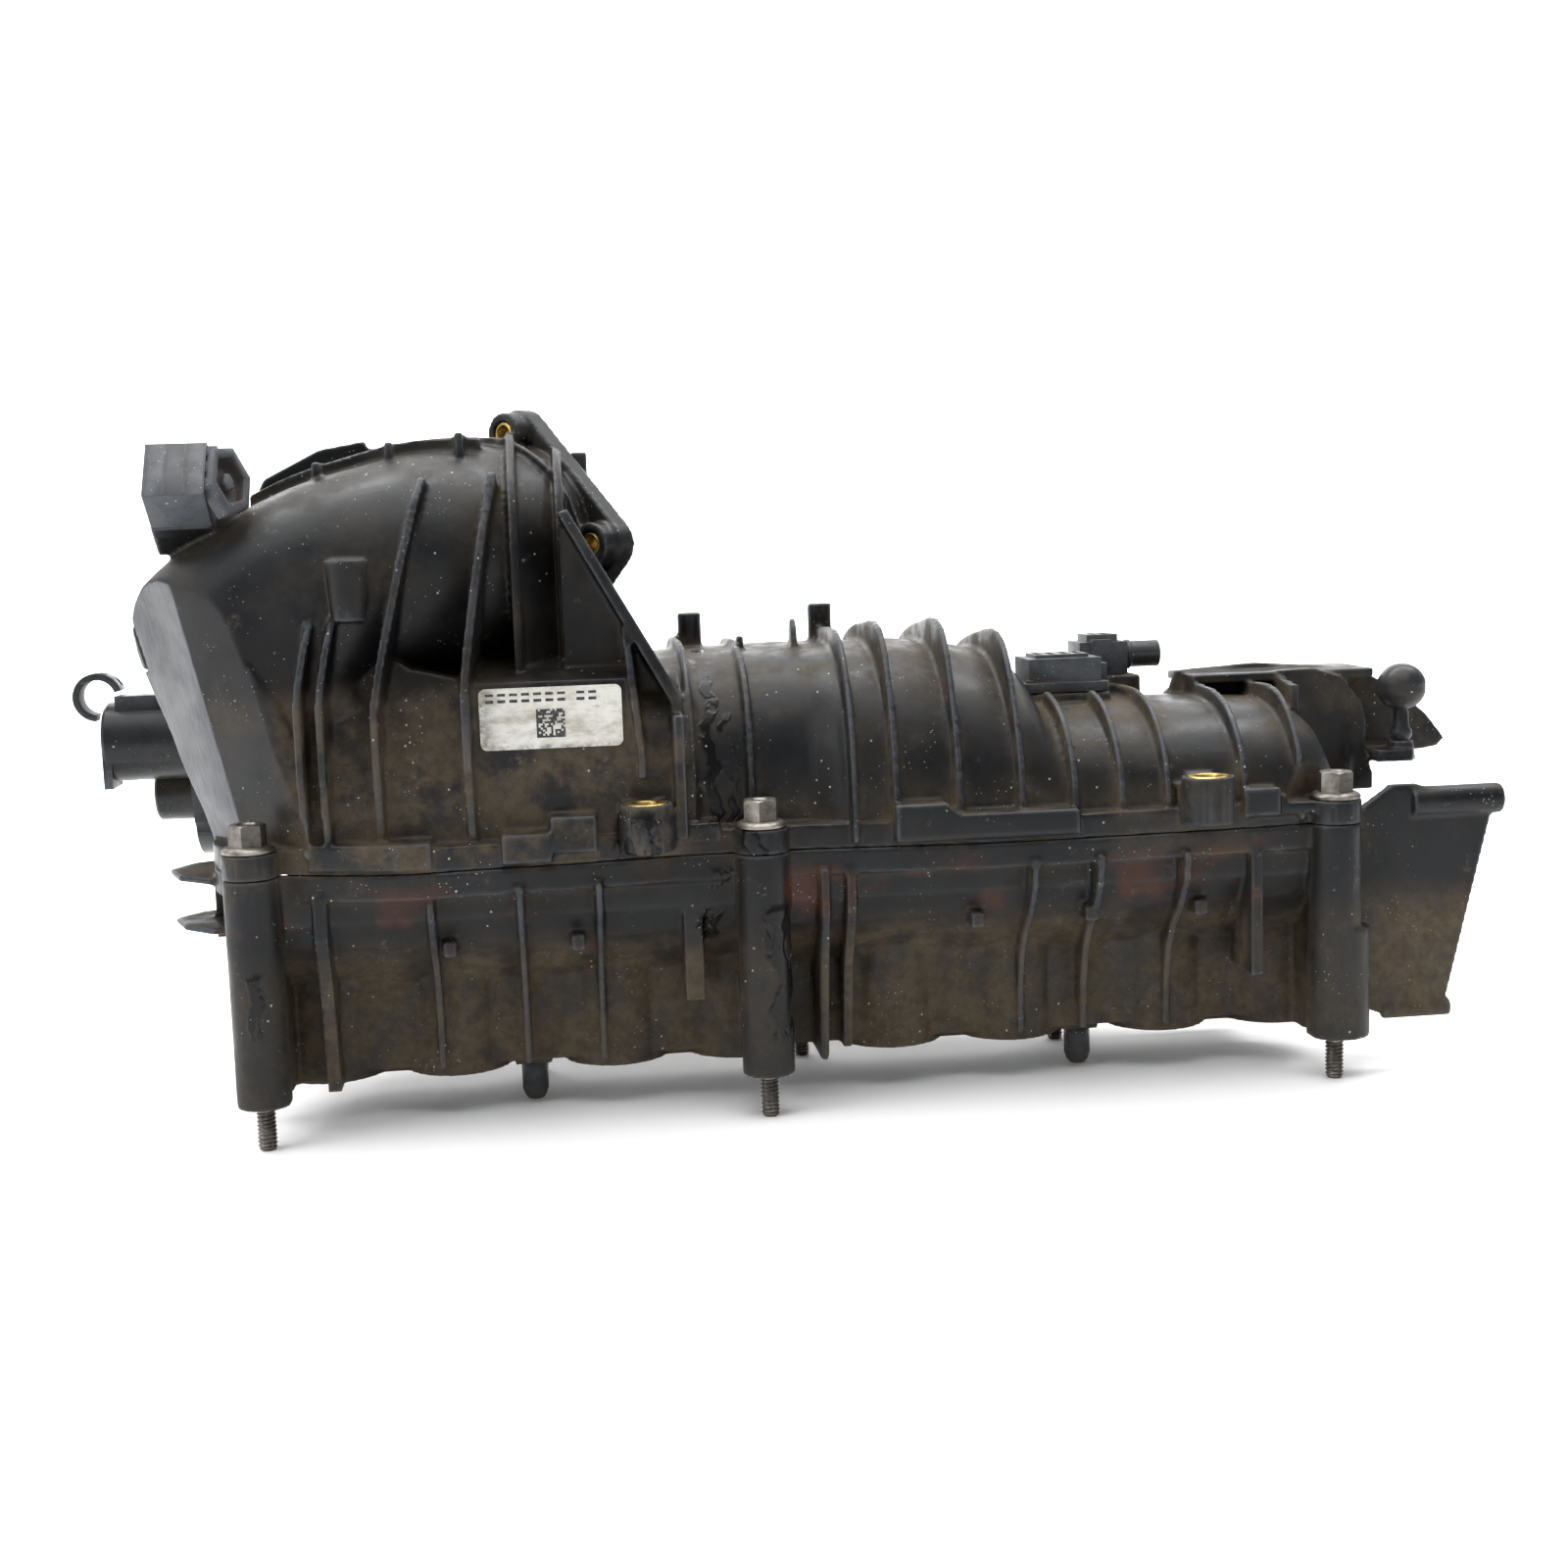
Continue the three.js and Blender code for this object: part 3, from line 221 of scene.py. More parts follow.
def boolean(base, operation, tools):
    """Joins the tools to the base or cuts it with them, and uses the tools up."""
    group = bpy.data.collections.new("tools")
    scene.collection.children.link(group)
    for tool in tools:
        group.objects.link(tool)
    change = base.modifiers.new("change", "BOOLEAN")
    change.solver = "MANIFOLD"
    change.operation = operation
    change.operand_type = "COLLECTION"
    change.collection = group
    frozen(base)
    for tool in list(tools):
        bpy.data.objects.remove(tool)
    bpy.data.collections.remove(group)
    return base


def combine(adds, cuts=()):
    """Union of adds less the cuts, as one object."""
    base = adds[0]
    if adds[1:]:
        boolean(base, "UNION", adds[1:])
    if cuts:
        boolean(base, "DIFFERENCE", cuts)
    return base


def both(first, second):
    """What two solids share."""
    return boolean(first, "INTERSECT", [second])


def moulded(obj):
    """Remeshes a solid so that its edges and corners are rounded as in a moulding."""
    remesh = obj.modifiers.new("remesh", "REMESH")
    remesh.mode = "VOXEL"
    remesh.voxel_size = VOXEL * MM
    soften = obj.modifiers.new("soften", "SMOOTH")
    soften.factor = 0.5
    soften.iterations = 2
    frozen(obj)
    count = sum(len(p.vertices) - 2 for p in obj.data.polygons)
    if count > MOST_FACES:
        thin = obj.modifiers.new("thin", "DECIMATE")
        thin.ratio = MOST_FACES / count
        frozen(obj)
    obj.data.shade_smooth()
    return obj


def smooth(obj, angle=50):
    obj.data.shade_smooth()
    obj.data.set_sharp_from_angle(angle=math.radians(angle))
    return obj


def crisp(obj, bevel):
    """Small bevels on the edges of a machined or moulded small part."""
    soften = obj.modifiers.new("bevel", "BEVEL")
    soften.width = bevel * MM
    soften.segments = 2
    soften.limit_method = "ANGLE"
    soften.angle_limit = math.radians(35)
    return smooth(frozen(obj))


def arc(cx, cy, radius, start, end, count):
    points = []
    for i in range(count + 1):
        angle = math.radians(start + (end - start) * i / count)
        points.append((cx + radius * math.cos(angle), cy + radius * math.sin(angle)))
    return points


def slope(keys, line, i):
    """The slope of a monotone curve at one of its rows."""
    steps = [(line[j + 1] - line[j]) / (keys[j + 1] - keys[j]) for j in (i - 1, i) if 0 <= j < len(keys) - 1]
    if len(steps) == 1:
        return steps[0]
    if steps[0] * steps[1] <= 0:
        return 0
    return 2 * steps[0] * steps[1] / (steps[0] + steps[1])


def eased(table, key):
    """Smooth monotone reading of a table whose rows start with the key."""
    keys = [row[0] for row in table]
    if key <= keys[0]:
        return table[0][1:]
    if key >= keys[-1]:
        return table[-1][1:]
    k = max(i for i in range(len(keys)) if keys[i] <= key)
    width = keys[k + 1] - keys[k]
    part = (key - keys[k]) / width
    p2, p3 = part * part, part ** 3
    weights = (2 * p3 - 3 * p2 + 1, width * (p3 - 2 * p2 + part), 3 * p2 - 2 * p3, width * (p3 - p2))
    values = []
    for column in range(1, len(table[0])):
        line = [row[column] for row in table]
        ends = (line[k], slope(keys, line, k), line[k + 1], slope(keys, line, k + 1))
        values.append(sum(weight * end for weight, end in zip(weights, ends)))
    return values


# ---- Plenum roof: X, middle Y, half depth, roof height, squareness ----
SPRING_Z = 76
PLENUM = [
    (-187, -5, 27, 104, 3),
    (-150, -2, 36, 122, 3),
    (-125, 18, 56, 127, 3.2),
    (-60, 20, 58, 129, 3.2),
    (-46, 20, 58, 129.7, 3.1),
    (-35, 24.25, 53.75, 130.3, 3),
    (-4, 24.25, 53.75, 131, 2.9),
    (9, 20, 58, 131, 2.8),
    (30, 21, 59, 131, 2.7),
    (50, 22, 60, 129, 2.5),
    (70, 22, 60, 123, 2.4),
    (77, 15, 53, 110, 2.5),
    (120, 9, 47, 109, 2.5),
    (152, 7, 45, 108, 2.5),
    (166, 6, 37, 103, 2.3),
    (174, 6, 24, 92, 2.1),
]


def plenum_point(x, angle, shrink):
    middle, half, roof, square = eased(PLENUM, x)
    rise = roof - SPRING_Z - shrink if math.sin(angle) > 0 else 12
    y = middle + (half - shrink) * power(math.cos(angle), 2 / square)
    return (x, y, SPRING_Z + rise * power(math.sin(angle), 2 / square))


def plenum_body(shrink):
    low, high = PLENUM[0][0] + shrink, PLENUM[-1][0] - shrink
    rings = []
    for step in range(PLENUM_STEPS + 1):
        x = low + (high - low) * step / PLENUM_STEPS
        middle, half = eased(PLENUM, x)[:2]
        arch = [plenum_point(x, math.pi * i / SIDES, shrink) for i in range(SIDES + 1)]
        foot = [(x, middle - half + shrink, 60), (x, middle + half - shrink, 60)]
        rings.append(arch + foot)
    return loft(rings)


def panel_body(inset):
    side = [(-38 + inset, 60), (-38 + inset, 125.5 - inset), (-12, 131.5 - inset), (0, 131.5 - inset), (0, 60)]
    return prism("x", side, -109 + inset, -58 - inset)


# ---- Inlet elbow ----
turn = math.radians(INLET_TURN)
INLET_WAY = Vector((math.cos(turn), math.sin(turn), 0))
ELBOW_KNOTS = [
    INLET_CENTRE,
    INLET_CENTRE - 14 * INLET_WAY,
    Vector((-105, 9, 163)),
    Vector((-127, 0, 160)),
    Vector((-147, -4, 154)),
    Vector((-164, -5, 140)),
    Vector((-171, -4, 117)),
    Vector((-165, -3, 92)),
    Vector((-161, -3, 76)),
]
ELBOW_SIZE = [
    (0, 30, 30, 2),
    (0.12, 34, 34, 2),
    (0.25, 35, 35, 2),
    (0.4, 34, 34, 2.1),
    (0.54, 37, 34, 2.3),
    (0.65, 46, 33, 2.5),
    (0.77, 30, 33, 3),
    (0.9, 27.5, 34, 3.4),
    (1, 27, 34, 3.4),
]


def centripetal(knots, per_span=30):
    """Points along a centripetal Catmull-Rom curve."""
    ends = [2 * knots[0] - knots[1]] + list(knots) + [2 * knots[-1] - knots[-2]]
    line = []
    for i in range(len(knots) - 1):
        p = ends[i:i + 4]
        t = [0.0]
        for a, b in zip(p, p[1:]):
            t.append(t[-1] + max((b - a).length, 1e-6) ** 0.5)
        for step in range(per_span):
            s = t[1] + (t[2] - t[1]) * step / per_span
            a1, a2, a3 = [p[k].lerp(p[k + 1], (s - t[k]) / (t[k + 1] - t[k])) for k in range(3)]
            b1 = a1.lerp(a2, (s - t[0]) / (t[2] - t[0]))
            b2 = a2.lerp(a3, (s - t[1]) / (t[3] - t[1]))
            line.append(b1.lerp(b2, (s - t[1]) / (t[2] - t[1])))
    line.append(knots[-1].copy())
    return line


ELBOW_LINE = centripetal(ELBOW_KNOTS)
ELBOW_REACH = [0.0]
for before, after in zip(ELBOW_LINE, ELBOW_LINE[1:]):
    ELBOW_REACH.append(ELBOW_REACH[-1] + (after - before).length)


def elbow_place(t):
    reach = min(max(t, 0), 1) * ELBOW_REACH[-1]
    k = min(int(np.searchsorted(ELBOW_REACH, reach, side="right")) - 1, len(ELBOW_LINE) - 2)
    span = ELBOW_REACH[k + 1] - ELBOW_REACH[k]
    centre = ELBOW_LINE[k].lerp(ELBOW_LINE[k + 1], (reach - ELBOW_REACH[k]) / span)
    low, high = max(k - 3, 0), min(k + 4, len(ELBOW_LINE) - 1)
    return centre, (ELBOW_LINE[high] - ELBOW_LINE[low]).normalized()


def elbow_point(t, angle, shrink):
    centre, heading = elbow_place(t)
    if t < 1e-6 and shrink > 0:
        centre = centre + 2 * INLET_WAY
    across = (Vector((0, 1, 0)) - heading.y * heading).normalized()
    level = Vector((heading.y, -heading.x, 0)).normalized()
    share = min(max((t - 0.1) / 0.2, 0), 1)
    across = level.lerp(across, share).normalized()
    outward = across.cross(heading).normalized()
    high, wide, square = eased(ELBOW_SIZE, t)
    sideways = (wide - shrink) * power(math.cos(angle), 2 / square)
    upwards = (high - shrink) * power(math.sin(angle), 2 / square)
    return tuple(centre + across * sideways + outward * upwards)


def elbow_ring(t, shrink):
    return [elbow_point(t, 2 * math.pi * i / SIDES, shrink) for i in range(SIDES)]


def elbow_body(shrink):
    return loft([elbow_ring(step / ELBOW_STEPS, shrink) for step in range(ELBOW_STEPS + 1)])


def slanted(inset, turn_deg, tilt_deg, through):
    tool = box(inset - 40, inset, -35, 35, -90, 90)
    turned_by = (Matrix.Rotation(math.radians(tilt_deg), 4, "Y") @ Matrix.Rotation(math.radians(turn_deg), 4, "Z"))
    return placed(tool, Matrix.Translation(through) @ turned_by)


def corner_tool(inset):
    """The slanted face at the front left corner of the elbow's foot."""
    return slanted(inset, 34, -14, (-185, -19, 103))


def bevel_tool(inset):
    """The narrow second face beside it."""
    return slanted(inset, 51, -16, (-182, -22.6, 101))


def leg_fillet():
    """The sweep from the plenum's roof up into the elbow's leg."""
    sweep = [(-168, 110), (-168, 163), (-147, 156), (-141, 146), (-134, 137), (-124, 130.5), (-108, 126.5),
             (-108, 110)]
    body = prism("y", sweep, -33.5, -2)
    lean = Matrix.Identity(4)
    lean[1][2] = 0.2
    return placed(body, Matrix.Translation((0, -22, 0)) @ lean)


def leg_panel():
    """A slightly raised panel on the front of the elbow's leg."""
    area = [(-215, 70), (-215, 157), (-184, 152), (-173, 137), (-163, 122), (-156, 104), (-152, 84), (-152, 70)]
    return both(elbow_body(-1.1), prism("y", area, -60, -8))


# ---- Weld flange outline ----
FLANGE = [
    (-189, 4), (-188, -14), (-180, -28), (-157, -39), (-130, -46.5), (-106, -44.5),
    (-73, -42), (-50, -38.5), (-30, -37.6), (-8, -37.6), (10, -39.5), (32, -42.5),
    (60, -44.5), (104, -43), (148, -40), (168, -34), (180, -16), (182, 6),
    (176, 34), (160, 56), (118, 64), (86, 72), (72, 87), (20, 88),
    (-118, 84), (-140, 60), (-150, 38), (-172, 34), (-187, 26),
]


def rounded(points, per_side=5):
    """A closed smooth outline through the points."""
    knots = [Vector((u, v, 0)) for u, v in points]
    count = len(knots)
    outline = []
    for i in range(count):
        p = [knots[(i + k - 1) % count] for k in range(4)]
        for step in range(per_side):
            s = step / per_side
            line = [p[1], (p[2] - p[0]) / 2, p[0] - 2.5 * p[1] + 2 * p[2] - p[3] / 2,
                    (p[3] - p[0]) / 2 + 1.5 * (p[1] - p[2])]
            at = line[0] + line[1] * s + line[2] * s * s + line[3] * s ** 3
            outline.append((at.x, at.y))
    return outline


# ---- Upper shell ----
ROOF_RIBS = [-39.5, 10, 23, 43, 63, 80, 95, 110, 135, 154]
RIB_CREST = {10: 4, 23: 6.5, 43: 8, 63: 7.5, 154: 3}


def roof_rib(x, proud=3.8, crest=0):
    points = []
    for i in range(60):
        angle = math.pi * (1.02 - (i / 59) * 0.78)
        taller = crest * math.exp(-((math.degrees(angle) - 114) / 22) ** 2)
        points.append(plenum_point(x, angle, -proud - taller)[1:])
    points += [(10, 90), (0, 72), (points[0][0], 72)]
    return prism("x", points, x - 1, x + 1)


def blade(x, outline, bend_z, lean, thickness=2.6):
    """A tall blade from the weld flange to the elbow; above bend_z it leans over."""
    plate = prism("x", outline, x - thickness / 2, x + thickness / 2)
    bm = bmesh.new()
    bm.from_mesh(plate.data)
    bmesh.ops.triangulate(bm, faces=[f for f in bm.faces if len(f.verts) > 4])
    for level in range(int(bend_z) - 8, 200, 4):
        cut_at = (0, 0, level * MM)
        bmesh.ops.bisect_plane(bm, geom=bm.verts[:] + bm.edges[:] + bm.faces[:], plane_co=cut_at,
                               plane_no=(0, 0, 1))
    for vert in bm.verts:
        above = max(0.0, vert.co.z / MM - bend_z)
        eased_above = above * above / (above + 6) if above > 0 else 0
        shift = eased_above * lean * 1.08 + (vert.co.y / MM + 38) * 0.1
        vert.co.x += shift * MM
    bm.to_mesh(plate.data)
    bm.free()
    return plate


def elbow_blades():
    left = [(-20, 76), (-43, 76), (-45, 100), (-45, 121), (-43, 140), (-38, 149), (-20, 149)]
    middle = [(0, 76), (-41, 76), (-44, 100), (-44, 116), (-44, 140), (-41, 163), (-35, 181),
              (-29, 188), (0, 180)]
    right = [(0, 76), (-41, 76), (-44, 100), (-44, 123), (-41, 150), (-36, 172), (-27, 189), (0, 180)]
    short = [(-20, 76), (-41, 76), (-41, 118), (-36, 141), (-20, 141)]
    return [
        blade(-156, left, 121, 0.2, 2.2),
        blade(-149.5, left, 121, 0.2, 2.2),
        blade(-134, middle, 116, 0.22),
        blade(-107, right, 123, 0.145),
        blade(-55, short, 100, -0.1, 2.2),
    ]


def at_inlet(obj):
    return placed(obj, Matrix.Translation(INLET_CENTRE) @ Matrix.Rotation(turn, 4, "Z"))


LUG_PLACES = [(INLET_LUG_RADIUS * math.cos(math.radians(90 * i)),
               INLET_LUG_RADIUS * math.sin(math.radians(90 * i))) for i in range(4)]


def inlet_flange():
    outline = []
    for i, (y, z) in enumerate(LUG_PLACES):
        outline += arc(y, z, 8, 90 * i - 45, 90 * i + 45, 8)
    plate = prism("x", outline, -7, 0)
    lugs = [rod("x", 7, -13, 0, y, z) for y, z in LUG_PLACES]
    return [at_inlet(part) for part in [plate] + lugs]


def inlet_tools():
    holes = [rod("x", 4.2, -20, 1, y, z, 24) for y, z in LUG_PLACES]
    groove = rod("x", INLET_SEAL_R + GAP, -2.6, 1, 0, 0, 64)
    bore = rod("x", INLET_BORE_R, -9, 3, 0, 0, 64)
    return [at_inlet(part) for part in [bore, groove] + holes]


def neck_rib(t, proud, thickness):
    return loft([elbow_ring(t + step * thickness, -proud) for step in (-0.5, 0.5)])


def lean_back(obj):
    lean = Matrix.Rotation(math.radians(CONNECTOR_LEAN), 4, "X")
    return placed(obj, Matrix.Translation(CONNECTOR_PLACE) @ lean)


def bolt_pockets(extra):
    """Smooth hollows in the front wall that leave room for the bolt heads."""
    pockets = []
    for bolt, (wide, tall) in zip(FRONT_BOLTS, POCKETS):
        profile = [(1.0, -3 * extra)]
        for angle in range(0, 88, 4):
            profile.append((math.cos(math.radians(angle)), (tall + extra) * math.sin(math.radians(angle))))
        dome = turned("z", profile, 0, 0, 64)
        size = Matrix.Diagonal((wide + extra, POCKET_DEEP + extra, 1, 1))
        pockets.append(placed(dome, Matrix.Translation((bolt[0], POCKET_Y, FLANGE_TOP_Z)) @ size))
    return pockets


def neck_plate(x0, x1, proud, drop=50):
    """A slice of the inlet's neck, carried straight down to the plenum's roof."""
    piece = both(elbow_body(-proud), box(x0, x1, -80, 24, 150, 230))
    bm = bmesh.new()
    for vert in piece.data.vertices:
        bm.verts.new(vert.co)
        bm.verts.new(vert.co - Vector((0, 0, drop * MM)))
    hull = bmesh.ops.convex_hull(bm, input=bm.verts[:])
    loose = [g for g in hull["geom_interior"] + hull["geom_unused"] if isinstance(g, bmesh.types.BMVert)]
    bmesh.ops.delete(bm, geom=list(set(loose)), context="VERTS")
    bm.to_mesh(piece.data)
    bm.free()
    return piece


RIM_TABS = [(-150.5, 194), (-128, 199.5), (-106.5, 202)]


def seam_lip(outer_inset, inner_inset, low, high):
    """A ledge inside the elbow's wall that closes the seam under the rear cover."""
    ring = combine([combine([elbow_body(outer_inset)], [corner_tool(outer_inset), bevel_tool(outer_inset)])],
                   [combine([elbow_body(inner_inset)], [corner_tool(inner_inset), bevel_tool(inner_inset)])])
    return both(ring, box(-230, -122, 3, 60, low, high))


def neck_web():
    """The wall under the inlet's neck, its two upright ribs and the gusset beside it; its material stains it and
    paints shade under the neck.
    """
    strip = [(-77.5, 176), (-74.5, 177), (-42, 119), (-42, 112), (-45.5, 112), (-45.5, 117.5)]
    web = [(-77, 174), (-45, 117), (-45, 105), (-77, 105)]
    return [
        neck_plate(-91, -76, 0.2),
        neck_plate(-92.2, -89.6, 4.2),
        neck_plate(-77.6, -75, 3.8),
        prism("y", strip, -37, -17),
        box(-45.5, -42, -42.5, -20, 76, 114),
        prism("y", web, -25, -20),
        rod("z", 2.8, 168, 196, -69, 23),
        box(-72, -56, 19, 26, 168, 172),
    ]


def upper_outer():
    skin = combine([plenum_body(0), elbow_body(0), panel_body(0), leg_fillet(), leg_panel()],
                   [corner_tool(0), bevel_tool(0)])
    parts = [skin, roof_rib(-21, 2.2)] + [roof_rib(x, crest=RIB_CREST.get(x, 1)) for x in ROOF_RIBS]
    parts += [box(-20, -18.2, 6, 12, 126, 134.5),
              prism("x", [(2, 126), (6, 137), (9, 140), (12, 137), (18, 126)], -2.5, -0.5)]
    for x, y in FRONT_BOLTS:
        parts.append(rod("z", COLUMN_R, 66, FLANGE_TOP_Z, x, y))
        parts.append(box(x - 7, x + 7, y, -26, 66, FLANGE_TOP_Z))
    parts.append(prism("z", rounded(FLANGE), 66, FLANGE_TOP_Z))
    parts += elbow_blades()
    parts += neck_web()
    parts += inlet_flange()
    parts.append(neck_rib(0.1, 2.5, 0.01))
    parts.append(both(elbow_body(-4), box(-172, -100, 0, 2.6, 150, 230)))
    parts += [box(x - 1.3, x + 1.3, -9, 7, z - 12, z) for x, z in RIM_TABS]
    parts += [box(73, 103, -3, 24, 90, 112), box(100, 122, 26, 46, 84, 115)]
    parts += [rod("z", 4, 110, 142, -34, 30), rod("z", 4, 110, 143.5, 10.5, 30)]
    parts += right_arm()
    parts += flange_details()
    parts += actuator_plate()
    parts += [lean_back(box(-9, 16, 9.3, 21.3, -9, 9)), lean_back(box(-9, 9, 7.8, 11.8, -9, 9))]
    parts.append(rod("z", 5, 146, 164, -140, -41, 40, 6.5))
    return parts


def right_arm():
    plate = [(120, 84), (132, 116.5), (160, 118), (197, 115), (212, 106), (222, 98), (229, 89),
             (226, 86), (208, 84), (192, 88), (182, 78), (150, 76)]
    return [
        prism("y", plate, 17.4, 20.4),
        box(134, 198, 6, 34, 112.5, 115.5),
        prism("x", [(-8, 76), (-8, 112), (18, 116), (18, 76)], 163, 165.6),
        prism("x", [(2, 80), (6, 114), (18, 114), (18, 80)], 186, 188.6),
        prism("y", [(168, 78), (164, 116), (176, 116.5), (186, 113), (193, 104), (195, 96), (194, 88),
                    (197, 80), (197, 74), (176, 74)], 4, 9),
        rod("z", 5, 84, 91, *BALL_PLACE, 32, 4),
        prism("z", [(196, -3), (208, -3.5), (211, 4), (208, 19), (196, 19)], 84, 88),
    ]


def flange_details():
    return rods(BOSS_R, BOSS_LOW_Z, BOSS_TOP_Z, BOSSES) + [
        box(-63, -46, -45, -34, 73, 85),
        box(113, 130, -45, -36, 73, 85),
        prism("z", [(-158, -36), (-156, -42), (-130, -49), (-119.5, -48.4), (-119.5, -36)], 71.5, 79.4),
        box(-98.5, -83.8, -47, -34, 71.5, 80.4),
        box(-83.8, -70, -46, -34, 74, 85),
        prism("y", [(22, 72), (22, 83.5), (38, 83.5), (42, 79.8), (80, 79.8), (80, 72)], -46.2, -36),
        box(134, 146, -43.5, -30, 74, 83),
        box(146, 158, -41.5, -30, 74, 80),
        box(-46, -32, -39.5, -30, 74, 80),
    ]


def actuator_plate():
    plate = [(28, 100), (34, 120), (60, 124), (100, 100), (100, 84), (88, 76), (60, 68), (42, 66), (28, 80)]
    return rods(5, -187, -172, SCREW_PLACES, axis="x") + [
        prism("x", plate, -176, -172.5),
        box(-176, -112, 58, 70, 104, 107),
        box(-176, -112, 50, 72, 72, 75.5),
        box(-176, -150, 24, 34, 98, 102),
    ]


def upper_cuts():
    spaces = combine([plenum_body(WALL), elbow_body(WALL), panel_body(WALL), box(-182, -153, -18, 12, 80, 134)],
                     bolt_pockets(WALL) + [corner_tool(WALL), bevel_tool(WALL)])
    tools = [spaces] + bolt_pockets(0) + inlet_tools()
    tools += [box(-300, 300, -100, 150, 40, JOINT_Z + GAP / 2), box(-230, -120, 3, 120, 131, 215)]
    tools += [box(72, 105, -6, 26, 112, 135), rod("z", 4.8, 100, 120, 87, 10), rod("z", 4.3, 100, 120, 109, 36)]
    tools += [rod("z", 2.6, 70, 95, *BALL_PLACE, 24)]
    tools += rods(INSERT_R + GAP, BOSS_LOW_Z + 2, 95, BOSSES) + rods(SLEEVE_R + GAP, 60, 95, FRONT_BOLTS)
    tools += rods(2, -190, -176.8, SCREW_PLACES, 20, "x")
    tools += [rod("x", LEVER_ARM + 6, -186.8, -176.5, *OUTPUT_AXIS, 48)]
    return tools


# ---- Lower shell ----
TROUGH_BACK = [(-172, -125, 32), (-128, 78, 74), (75, 168, 49)]


def trough(x0, x1, back, inset):
    top = JOINT_Z + 5 if inset > 0 else JOINT_Z
    low = 38 if inset > 0 else 30
    points = [(-37 + inset, top), (-36.5 + inset, 54), (-31.5 + inset, 45.5 + inset / 2),
              (-15 + inset / 2, low), (14 - inset, low), (back * 0.55, low + 12), (back - inset, 57),
              (back - inset, top)]
    return prism("x", points, x0 + inset, x1 - inset)


def troughs(inset):
    longer = inset + 0.5 if inset > 0 else 0
    return [trough(x0 - longer, x1 + longer, back, inset) for x0, x1, back in TROUGH_BACK]


FRONT_RIBS = [-121, -94, -70, 66, 87, 115]
WEB_FOOT = [(4, 10), (-8, 10), (-8.5, -8)]


def lower_outer():
    parts = [prism("z", rounded(FLANGE), FLANGE_LOW_Z, JOINT_Z)] + troughs(0)
    parts += rods(RUNNER_R, 0, 40, PORTS, 48)
    parts += [box(x - PORT_OFFSET, x + PORT_OFFSET, -9, 8, 0, 36) for x in CYLINDERS]
    parts += [box(step * CYLINDER_PITCH - 14, step * CYLINDER_PITCH + 14, -5, 8, 0, 36) for step in (-1, 0, 1)]
    parts += [box(x - 6, x + 6, y - 6, 0, 0, 34) for x, y in PEGS]
    parts.append(box(-160, 160, 4, 34, 0, 9))
    for (x, y), (near_left, near_right) in zip(FRONT_BOLTS, WEB_FOOT):
        parts.append(rod("z", COLUMN_R, 0, JOINT_Z, x, y))
        parts.append(prism("z", [(x - 5, y), (x + 5, y), (x + near_right, 0), (x + near_left, 0)], 0, 66))
    parts += rods(9, 0, REAR_LUG_Z, REAR_BOLTS)
    parts.append(rod("z", 10, 0, 36, 168, -36))
    rib = [(0, 64), (-45.5, 64), (-44, 55), (-38, 46), (-30, 38), (-25, 30), (-22, 18), (-21, 3), (0, 3)]
    parts += [prism("x", rib, x - 1.1, x + 1.1) for x in FRONT_RIBS]
    rear = [(4, 4), (20, 9), (26, 24), (44, 40), (70, 56), (70, 63), (0, 63)]
    parts += [prism("x", rear, x - 1.3, x + 1.3) for x in CYLINDERS]
    parts += [box(x - 2, x + 2, -37, -20, 42, 47) for x in (-116, -77, 49, 86, 122)]
    parts.append(box(-152, 152, -15.5, -12, 2.5, 42))
    parts += [
        prism("x", [(-29, 0), (-34, 30), (-41, 50), (-41, 64), (-6, 64), (-6, 0)], -156, -152),
        prism("x", [(-28, 0), (-34, 30), (-41, 50), (-41, 64), (0, 64), (0, 0)], -1.5, 1.5),
        prism("x", [(-22, 2), (-28, 30), (-39.5, 50), (-39.5, 64), (0, 64), (0, 2)], 7, 10),
        box(137, 141, -41, -20, 22, 64),
        box(-44, -38, -36, -20, 24, 58),
    ]
    parts += side_bracket() + left_leaves()
    parts.append(rod("x", 8, -177.5, -160, SHAFT_Y, SHAFT_Z))
    return parts


def side_bracket():
    plate = [(164, 12), (164, 61), (175, 61), (178, 73), (188, 80), (197, 80), (223, 71), (207, 6), (188, 3)]
    return [
        prism("y", plate, -31, -28),
        rod("x", 5, 195, 226, -29, 74),
        rod("x", 3, 186, 209, -29, 5),
        prism("z", [(172, -31), (192, -27.5), (192, -14), (188, -14), (172, -24)], 20, 62),
    ]


def left_leaves():
    upper_leaf = [(-168, -16), (-190, -14), (-201, -4), (-206, 10), (-200, 22), (-186, 28), (-168, 28)]
    lower_leaf = [(-168, -16), (-190, -16), (-200, -6), (-205, 8), (-198, 18), (-184, 22), (-168, 22)]
    return [prism("z", upper_leaf, 64.5, 66.5), prism("z", lower_leaf, 49, 51), box(-192, -168, 6, 8, 44, 66)]


def lower_cuts():
    tools = [combine(troughs(WALL))]
    tools += rods(BORE_R, -1, 42, PORTS) + rods(SEAL_R + GAP, -1, 2.6, PORTS)
    tools += rods(SLEEVE_R + GAP, -1, 90, FRONT_BOLTS, 24) + rods(SLEEVE_R + GAP, -1, 20, REAR_BOLTS, 24)
    tools += rods(3.3, -1, 11, PEGS, 24)
    for radius, left, right in ((SHAFT_R, -190, SHAFT_RIGHT_X + 1), (BUSH_R, -190, -171),
                                (BUSH_R, 120, SHAFT_RIGHT_X + 1)):
        tools.append(rod("x", radius + GAP, left, right, SHAFT_Y, SHAFT_Z, 24))
    return tools


